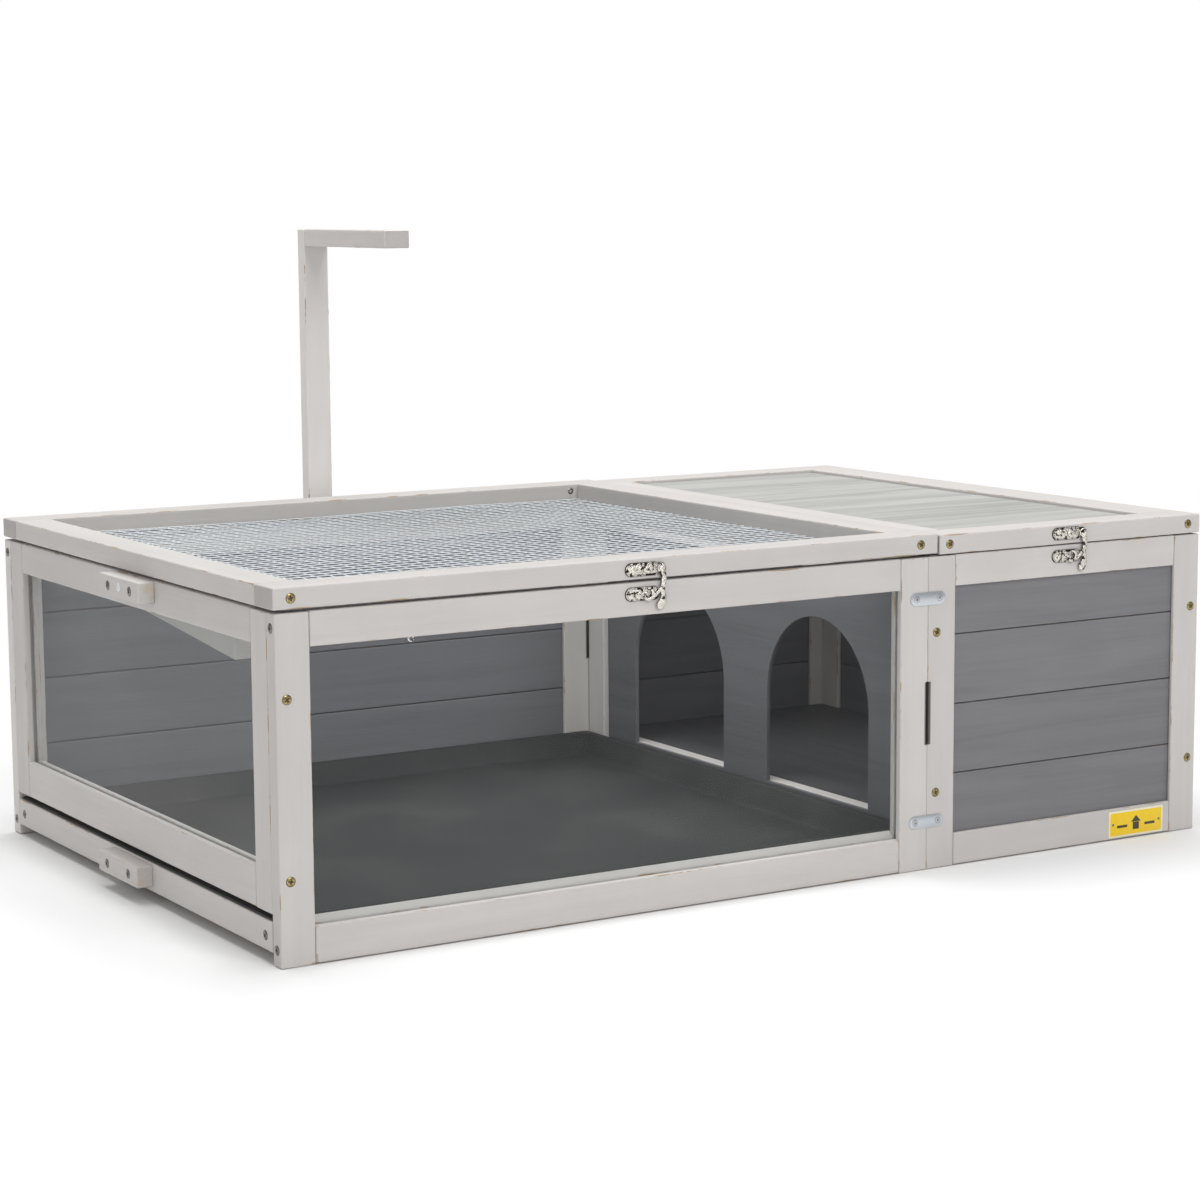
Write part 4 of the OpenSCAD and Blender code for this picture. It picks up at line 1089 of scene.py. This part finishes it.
def add_screw(bundle, at, facing, radius=HEAD_RADIUS, height=HEAD_HIGH, kind=0, shade_ring_kind=None):
    """A head: the square (u, v) becomes the disc (u sqrt(1 - v^2/2), v sqrt(1 - u^2/2)), the dome falls
    with the distance squared, and the cross is deep where the smaller of |u|, |v| is near 0. The last
    argument is the kind of a thin dark ring of painted shade round the head, where the countersink was
    cut a little too wide, or None."""
    u, v = np.meshgrid(NET, NET, indexing="ij")
    disc = np.stack([u * np.sqrt(1 - v * v / 2), v * np.sqrt(1 - u * u / 2)], axis=-1)
    far = np.linalg.norm(disc, axis=-1)
    dome = height * (1 - 0.25 * far ** 2 - 0.55 * smooth((far - 0.82) / 0.18))
    narrow, long = np.minimum(np.abs(u), np.abs(v)), np.maximum(np.abs(u), np.abs(v))
    cross = smooth((CROSS_HALF - narrow) / 0.07) * smooth((CROSS_REACH - long) / 0.08)
    spin = rng.uniform(0, math.pi)
    turn_flat = np.array([(math.cos(spin), math.sin(spin)), (-math.sin(spin), math.cos(spin))])
    points = np.concatenate([disc @ turn_flat * radius, (dome - cross * CROSS_DEPTH)[..., None]], axis=-1)
    side = len(NET)
    i, j = np.meshgrid(np.arange(side - 1), np.arange(side - 1), indexing="ij")
    quads = np.stack([i * side + j, (i + 1) * side + j, (i + 1) * side + j + 1, i * side + j + 1], axis=-1)
    edge = np.arange(side * side).reshape(side, side)
    rim = np.concatenate([edge[:-1, 0], edge[-1, :-1], edge[:0:-1, -1], edge[0, :0:-1]])
    below = points.reshape(-1, 3)[rim].copy()
    below[:, 2] = -HEAD_BELOW
    flat = placed(np.concatenate([points.reshape(-1, 3), below]), facing, at)
    top, count = bundle.count, len(rim)
    lower = top + side * side + np.arange(count)
    skirt = np.stack([rim + top, lower, np.roll(lower, -1), np.roll(rim, -1) + top], axis=-1)
    rows = (quads.reshape(-1, 4) + top).tolist() + skirt.tolist() + [lower[::-1].tolist()]
    # For cast nickel the cross is painted shade, darker than the head.
    raised_and_lit = np.concatenate([(1 - cross).reshape(-1), np.zeros(count)])
    bundle.add_faces(flat, rows, flat, raised_and_lit, 0.0, kind)
    # Painted shade: a nearly flat dark ring just round the head.
    if shade_ring_kind is not None:
        wide = radius + SINK_WIDER
        add_turned(bundle, [(wide, -0.4 * MM), (wide, 0.04 * MM), (radius * 0.9, 0.05 * MM)], facing, at, 24,
                   shade_ring_kind)


def facing_of(low, high):
    """Which way a thin disc faces, and the middle of the wall face that it stands on."""
    size, middle = high - low, (low + high) / 2
    thin = int(np.argmin(size[:2]))
    outward = np.sign(middle[thin] - (cad_box[0][thin] + cad_box[1][thin]) / 2)
    middle[thin] -= outward * HEAD_HIGH / 2
    return (("left", "right"), ("front", "back"))[thin][int(outward > 0)], middle


SCREWS = {"frame_screws": yellow_zinc, "run_lid_screws": yellow_zinc, "house_lid_screws": yellow_zinc,
          "end_screws": dull_zinc, "carry_handle_screws": dull_zinc, "drawer_screws": dull_zinc}
for node, material in SCREWS.items():
    heads = Bundle()
    for low, high in solids(node):
        facing, at = facing_of(low, high)
        # Kind 1 is the ring of painted shade.
        add_screw(heads, at, facing, shade_ring_kind=1)
    stands_for(heads.piece(node[:-6] + "screw_heads", material, painted_sink_shade), node)
    print(node, heads.count, "points")

# %% One screw inside the corner of the mesh lid
INNER_SCREW = np.array([-42, 0.1, -7]) * MM
rail_low, rail_high = max(solids("run_lid_long_rails"), key=lambda box: box[0][1])
inner_screw = Bundle()
inner_corner = np.array([rail_high[0], rail_low[1], rail_high[2]])
add_screw(inner_screw, inner_corner + INNER_SCREW, "front", 3.4 * MM, shade_ring_kind=1)
goes_with(inner_screw.piece("run_lid_inner_screw_head", dull_zinc, painted_sink_shade), "run_lid_long_rails")
print("inner screw: 1 head")

# %% [markdown]
# ## Straps and label
# Two zinc straps in front and two behind hold the modules together. Each is a strip with round ends
# and two screws. The label is an enamelled plate held by two small nails.

# %% Straps and label
STADIUM_POINTS = 20
STRAP_SCREW, STRAP_THICK = 12.5 * MM, 1.0 * MM
NAIL = np.array([(0.9, 0), (1.25, 0.15), (1.1, 0.4), (0.5, 0.5)]) * MM
NAIL_ASIDE, NAIL_FOOT = 28 * MM, 0.95 * MM


def stadium(length, height):
    """A closed outline with round ends: two half circles, height across, whose centres are apart."""
    t = np.linspace(-math.pi / 2, math.pi / 2, STADIUM_POINTS)
    right = np.stack([(length - height) / 2 + height / 2 * np.cos(t), height / 2 * np.sin(t)], axis=1)
    return np.concatenate([right, -right])


straps = Bundle()
for low, high in solids("joining_straps"):
    facing, outward = ("front", -1) if low[1] < 0 else ("back", 1)
    at = (low + high) / 2
    at[1] = high[1] if facing == "front" else low[1]
    add_plate(straps, stadium(high[0] - low[0], high[2] - low[2]), STRAP_THICK, facing, at, 0.15 * MM)
    for side in (-1, 1):
        spot = at + np.array([side * STRAP_SCREW, outward * STRAP_THICK, 0])
        # Kind 1, dull zinc, is the ring of painted shade round each strap screw.
        add_screw(straps, spot, facing, 2.5 * MM, 0.3 * MM, 0, 1)
stands_for(straps.piece("joining_strap_plates", bright_zinc, dull_zinc), "joining_straps")

label_low, label_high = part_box("label_plate")
label, nails = Bundle(), Bundle()
label_size = np.array([label_high.x - label_low.x, label_high.z - label_low.z])
label_at = np.array([(label_low.x + label_high.x) / 2, label_high.y, (label_low.z + label_high.z) / 2])
add_plate(label, rounded_rectangle(-label_size / 2, label_size / 2, 1.2 * MM), 1.0 * MM, "front", label_at,
          0.2 * MM)
stands_for(label.piece("label_plate_enamelled", make_label_enamel(label_low, label_high)), "label_plate")
for side in (-1, 1):
    add_turned(nails, NAIL, "front", label_at + np.array([side * NAIL_ASIDE, -NAIL_FOOT, 0]), 16)
goes_with(nails.piece("label_nails", dull_zinc), "label_plate")
print("straps:", straps.count, "points, label with 2 nails")

# %% [markdown]
# ## Latches
# Each latch is three nickel castings. A plate on the lid carries a swinging hook on a rivet, and a
# keeper on the wall has a stud that the hook's claw goes round. Castings have no flat edges, so the
# hook is a tube with an oval section that swells and narrows along a drawn line.

# %% Castings
OVAL_SIDES = 14


def curve_through(points, count):
    """A smooth line through a few points: between points 1 and 2 of each four it is
    0.5 (2 p1 + (p2 - p0) t + (2 p0 - 5 p1 + 4 p2 - p3) t^2 + (3 p1 - p0 - 3 p2 + p3) t^3)."""
    p = np.asarray(points, float)
    p = np.concatenate([[2 * p[0] - p[1]], p, [2 * p[-1] - p[-2]]])
    place = np.linspace(0, len(p) - 3 - 1e-9, count)
    k, t = place.astype(int), (place % 1)[:, None]
    p0, p1, p2, p3 = p[k], p[k + 1], p[k + 2], p[k + 3]
    return 0.5 * (2 * p1 + (p2 - p0) * t + (2 * p0 - 5 * p1 + 4 * p2 - p3) * t ** 2
                  + (3 * p1 - p0 - 3 * p2 + p3) * t ** 3)


def add_cast_bar(bundle, line, widths, depth, facing, at):
    """An oval bar along a flat line (n, 2): at each point the oval is widths across the line and depth
    out of the page. Its ends close to a fifth of their size, like a poured tip."""
    ahead = np.gradient(line, axis=0)
    ahead /= np.linalg.norm(ahead, axis=1, keepdims=True)
    across = np.stack([-ahead[:, 1], ahead[:, 0]], axis=1)
    q = np.linspace(0, 2 * math.pi, OVAL_SIDES, endpoint=False)
    width = np.interp(np.linspace(0, 1, len(line)), np.linspace(0, 1, len(widths)), widths) / 2
    u = np.linspace(0, 1, len(line))
    tip = np.sqrt(np.clip(np.minimum(u, 1 - u) / 0.06, 0.04, 1))
    flat = np.empty((len(line), OVAL_SIDES, 3))
    flat[..., :2] = line[:, None] + across[:, None] * (width * tip)[:, None, None] * np.cos(q)[None, :, None]
    flat[..., 2] = (depth / 2 * tip)[:, None] * np.sin(q)[None]
    # Painted light for cast nickel: the front half of the oval is bright, the back half dark.
    raised_and_lit = np.repeat(np.clip(np.sin(q) * 1.25, 0, 1)[None], len(line), axis=0)
    bundle.add(placed(flat, facing, at), wear=raised_and_lit)


HOOK_LAYER, HOOK_DEPTH, NECK_DEPTH = 2.85 * MM, 1.75 * MM, 1.645 * MM
HOOK_EYE = np.array([(2.0, -0.8), (3.6, -0.8), (4.1, -0.3), (4.1, 0.3), (3.5, 0.8), (2.0, 0.8)]) * MM
STEM = np.array([(0.4, -2.4), (2.1, -8), (1.7, -13), (0.6, -18), (1.6, -23.5), (0.2, -29),
                 (-3.6, -33.6)]) * MM
STEM_WIDE = np.array([6.4, 5.2, 4.7, 4.9, 5.4, 8.0, 7.4]) * MM
CLAW_MIDDLE, CLAW_RADIUS = np.array([-13.0, -20.5]), 4.65
CLAW_FROM, CLAW_TO = 98, -158
CLAW_WIDE = np.array([2.4, 2.9, 3.1, 3.0, 2.7, 2.2]) * MM
NECK = np.array([(-9.4, -22.6), (-5.5, -21.8), (-2, -18.4), (1.0, -14.5)]) * MM
NECK_WIDE = np.array([3.0, 3.4, 3.4, 3.0]) * MM


def add_hook(bundle, at):
    """The hook: a round eye, a stem with a thumb tab, and a claw that is a part of a circle."""
    middle = at - np.array([0, HOOK_LAYER, 0])
    add_turned(bundle, HOOK_EYE, "front", middle)
    add_cast_bar(bundle, curve_through(STEM, 30), STEM_WIDE, HOOK_DEPTH, "front", middle)
    t = np.radians(np.linspace(CLAW_FROM, CLAW_TO, 34))
    claw = (CLAW_MIDDLE + CLAW_RADIUS * np.stack([np.cos(t), np.sin(t)], axis=1)) * MM
    add_cast_bar(bundle, claw, CLAW_WIDE, HOOK_DEPTH, "front", middle)
    add_cast_bar(bundle, curve_through(NECK, 14), NECK_WIDE, NECK_DEPTH, "front", middle)


PLATE_LONG, PLATE_HIGH, PLATE_THICK = 34 * MM, 11.5 * MM, 1.6 * MM
EAR_FROM_LEFT, SCREW_FROM_LEFT = 34.5 * MM, 8 * MM
BORDER, PILLOW = 3.4 * MM, 0.55 * MM
RIVET = np.array([(3.3, 0), (3.3, 0.8), (2.9, 1.4), (1.6, 1.8)]) * MM
PIVOT = np.array([(5.0, 0), (5.0, 1.1), (4.4, 1.5), (1.8, 1.6), (1.8, 4.0), (2.9, 4.1), (3.0, 4.6),
                  (2.3, 5.2), (1.0, 5.4)]) * MM
STUD = np.array([(2.9, 0), (2.9, 1.45), (2.3, 1.7)]) * MM
STUD_BEFORE_EAR, RIVET_FROM_LEFT = 13 * MM, 20 * MM


def add_oval_plate(bundle, left, height):
    """A pillowed oval plate with a raised border and one driven screw near its left end."""
    centre = np.array([left + PLATE_LONG / 2, wall_face, height])
    add_plate(bundle, stadium(PLATE_LONG, PLATE_HIGH), PLATE_THICK * 0.8, "front", centre, 0.5 * MM, 0.5)
    inner = stadium(PLATE_LONG - BORDER, PLATE_HIGH - BORDER)
    add_plate(bundle, inner, PILLOW, "front", centre - np.array([0, PLATE_THICK * 0.7, 0]), 0.45 * MM)
    add_screw(bundle, np.array([left + SCREW_FROM_LEFT, wall_face - PLATE_THICK, height]), "front",
              3.1 * MM, 0.9 * MM)


wall_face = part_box("run_front_left_stile")[0].y
for which in ("run", "house"):
    plate_low, plate_high = box_of(which + "_latch_plate")
    left, height = plate_low[0], (plate_low[2] + plate_high[2]) / 2
    pivot = np.array([left + EAR_FROM_LEFT, wall_face, height])
    plate, hook = Bundle(), Bundle()
    add_oval_plate(plate, left, height)
    rivet = np.array([left + RIVET_FROM_LEFT, wall_face - PLATE_THICK * 0.8, height])
    add_turned(plate, RIVET, "front", rivet)
    add_turned(plate, PIVOT, "front", pivot)
    stands_for(plate.piece(which + "_latch_plate_casting", nickel), which + "_latch_plate")
    add_hook(hook, pivot)
    stands_for(hook.piece(which + "_latch_hook_casting", nickel), which + "_latch_hook")

keepers = Bundle()
for low, high in solids("latch_keepers"):
    height = (low[2] + high[2]) / 2
    add_oval_plate(keepers, low[0], height)
    add_turned(keepers, STUD, "front",
               np.array([low[0] + EAR_FROM_LEFT - STUD_BEFORE_EAR, wall_face, height]))
stands_for(keepers.piece("latch_keeper_castings", nickel), "latch_keepers")
print("latches: 2 plates, 2 hooks, 2 keepers")

# %% [markdown]
# ## Hinges
# A butt hinge is bent from zinc-plated sheet: two leaves whose edges roll into knuckles round one
# pin. The wall's leaf has two knuckles and the lid's leaf has one, so they can only turn together.

# %% Hinges
LEAF_THICK = 1.2 * MM
BARREL, PIN, AXIS_OUT = 2.6 * MM, 1.2 * MM, 3.2 * MM
KNUCKLE, KNUCKLE_GAP = 14 * MM, 0.5 * MM
LEAF_FROM_AXIS, WEB_HIGH = 3.3 * MM, 4.2 * MM
LEAF_SCREW_STEP = 15 * MM
BROKEN_EDGE, BARREL_SIDES = 0.25 * MM, 24
back_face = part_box("run_back_stiles")[1].y


def add_barrel(bundle, x_from, length, y, z, radius):
    """A tube end to end along X, drawn as a turned part lying on its side, with broken edges."""
    profile = np.array([(radius - BROKEN_EDGE, 0), (radius, BROKEN_EDGE), (radius, length - BROKEN_EDGE),
                        (radius - BROKEN_EDGE, length)])
    q = np.linspace(0, 2 * math.pi, BARREL_SIDES, endpoint=False)
    stack = np.empty((len(profile), len(q), 3))
    stack[..., 0] = x_from + profile[:, 1, None]
    stack[..., 1] = y + profile[:, 0, None] * np.cos(q)
    stack[..., 2] = z + profile[:, 0, None] * np.sin(q)
    bundle.add(stack)


def hinge_leaves(node, material):
    """Leaves, knuckles and three screws a leaf for each hinge in a node."""
    made = Bundle()
    fixed = node == "hinge_fixed_leaves"
    for low, high in solids(node):
        length = 3 * KNUCKLE + 2 * KNUCKLE_GAP
        middle = (low[0] + high[0]) / 2
        first = middle - length / 2
        axis_z = high[2] - BARREL if fixed else low[2] + BARREL
        leaf_from = low[2] if fixed else axis_z + LEAF_FROM_AXIS
        leaf_to = axis_z - LEAF_FROM_AXIS if fixed else high[2]
        size = np.array([length, leaf_to - leaf_from])
        add_plate(made, rounded_rectangle(-size / 2, size / 2, 2 * MM), LEAF_THICK, "back",
                  (middle, back_face, (leaf_from + leaf_to) / 2))
        for k in (0, 2) if fixed else (1,):
            start = first + k * (KNUCKLE + KNUCKLE_GAP)
            add_barrel(made, start, KNUCKLE, back_face + AXIS_OUT, axis_z, BARREL)
            web = np.array([KNUCKLE, WEB_HIGH])
            web_z = axis_z + (-WEB_HIGH / 2 if fixed else WEB_HIGH / 2)
            add_plate(made, rounded_rectangle(-web / 2, web / 2, 0.3 * MM), LEAF_THICK, "back",
                      (start + KNUCKLE / 2, back_face, web_z), 0.1 * MM)
        for side in (-1, 0, 1):
            spot = (middle + side * LEAF_SCREW_STEP, back_face + LEAF_THICK * 0.98, (leaf_from + leaf_to) / 2)
            add_screw(made, spot, "back", 2.4 * MM, 0.35 * MM)
    stands_for(made.piece(node + "_pressed", material), node)
    print(node, made.count, "points")


for node in ("hinge_fixed_leaves", "run_lid_hinge_leaves", "house_lid_hinge_leaves"):
    hinge_leaves(node, bright_zinc)
pins = Bundle()
for low, high in solids("hinge_pins"):
    add_barrel(pins, low[0], high[0] - low[0], (low[1] + high[1]) / 2, (low[2] + high[2]) / 2, PIN)
stands_for(pins.piece("hinge_pin_rods", dull_zinc), "hinge_pins")

# %% [markdown]
# ## Two small fittings
# A small bright eye hangs under the front top rail of the run, and the carrying handle has a bright
# oval eyelet between its screws. Both are rings: a small circle carried round a larger one.

# %% Eyelets
RING_POINTS, RING_SIDES = 28, 12
EYE_AT = np.array([90, 3, -1.4]) * MM
EYELET_AT = np.array([0.4, 0, 1]) * MM


def add_ring(bundle, at, facing, radius, wire, squeeze=1.0):
    """A ring: points (R + r cos q) round the large circle, narrowed by squeeze, and r sin q out."""
    p, q = np.meshgrid(*(np.linspace(0, 2 * math.pi, count, endpoint=False)
                         for count in (RING_POINTS, RING_SIDES)), indexing="ij")
    far = radius + wire * np.cos(q)
    flat = np.stack([far * np.cos(p) * squeeze, far * np.sin(p), wire * np.sin(q)], axis=-1)
    bundle.add(placed(flat, facing, at)[::-1], wear=np.ones(p.shape), joined=True)


rail_corner = box_of("run_front_top_rail")[0]
eye = Bundle()
add_ring(eye, rail_corner + EYE_AT, "front", 2.2 * MM, 0.75 * MM)
goes_with(eye.piece("front_rail_eye", nickel), "run_front_top_rail")
handle_low, handle_high = box_of("carry_handle")
handle_face = (handle_low + handle_high) / 2
handle_face[0] = handle_low[0]
eyelet = Bundle()
add_ring(eyelet, handle_face + EYELET_AT, "left", 2.9 * MM, 0.95 * MM, 0.75)
goes_with(eyelet.piece("handle_eyelet", galvanised), "carry_handle")
print("eyelets: 2 rings")

# %% [markdown]
# ## The floor
# The floor only catches the soft shadow. It is one large pale sheet just under the feet, and it belongs
# to the studio and not to the house.

# %% Floor
FLOOR_HALF = 14.0
SHADOW_REACH, WHITE_FROM = 0.62, 1.2
FLOOR_GREY, FLOOR_PALE = (0.86, 0.86, 0.86, 1), (0.88, 0.88, 0.88, 1)


def make_floor_finish():
    """White with the faintest clouding. Far from the middle it glows as plain white to the camera, so
    that the floor runs into the white room without an edge."""
    made, tree, shader = new_material("studio_floor")
    spot = object_place(tree)
    tree.links.new(mixed(tree, noise(tree, spot, 0.8), FLOOR_GREY, FLOOR_PALE), shader.inputs["Base Color"])
    shader.inputs["Roughness"].default_value = 0.9
    shader.inputs["Specular IOR Level"].default_value = 0.0
    far = add_node(tree, "ShaderNodeVectorMath", {"operation": "LENGTH"}, i0=spot).outputs["Value"]
    seen = maths(tree, "MULTIPLY", between(tree, far, SHADOW_REACH, WHITE_FROM),
                 add_node(tree, "ShaderNodeLightPath").outputs["Is Camera Ray"])
    glow = add_node(tree, "ShaderNodeEmission", None, Color=(1, 1, 1, 1), Strength=1.0)
    show(tree, add_node(tree, "ShaderNodeMixShader", None, i0=seen, i1=shader.outputs[0],
                        i2=glow.outputs[0]))
    return made


floor_mesh = bpy.data.meshes.new("studio_floor")
floor_corners = np.array([(-1, -1, 0), (1, -1, 0), (1, 1, 0), (-1, 1, 0)], float) * FLOOR_HALF
floor_mesh.from_pydata(floor_corners.tolist(), [], [(0, 1, 2, 3)])
floor_mesh.materials.append(make_floor_finish())
floor = bpy.data.objects.new("studio_floor", floor_mesh)
bpy.context.scene.collection.objects.link(floor)

# %% [markdown]
# ## Sizes
# The last step prints the outer sizes of the frame.

# %% Sizes and the finish
print("CAD box   ", [[round(c, 4) for c in v] for v in cad_box])
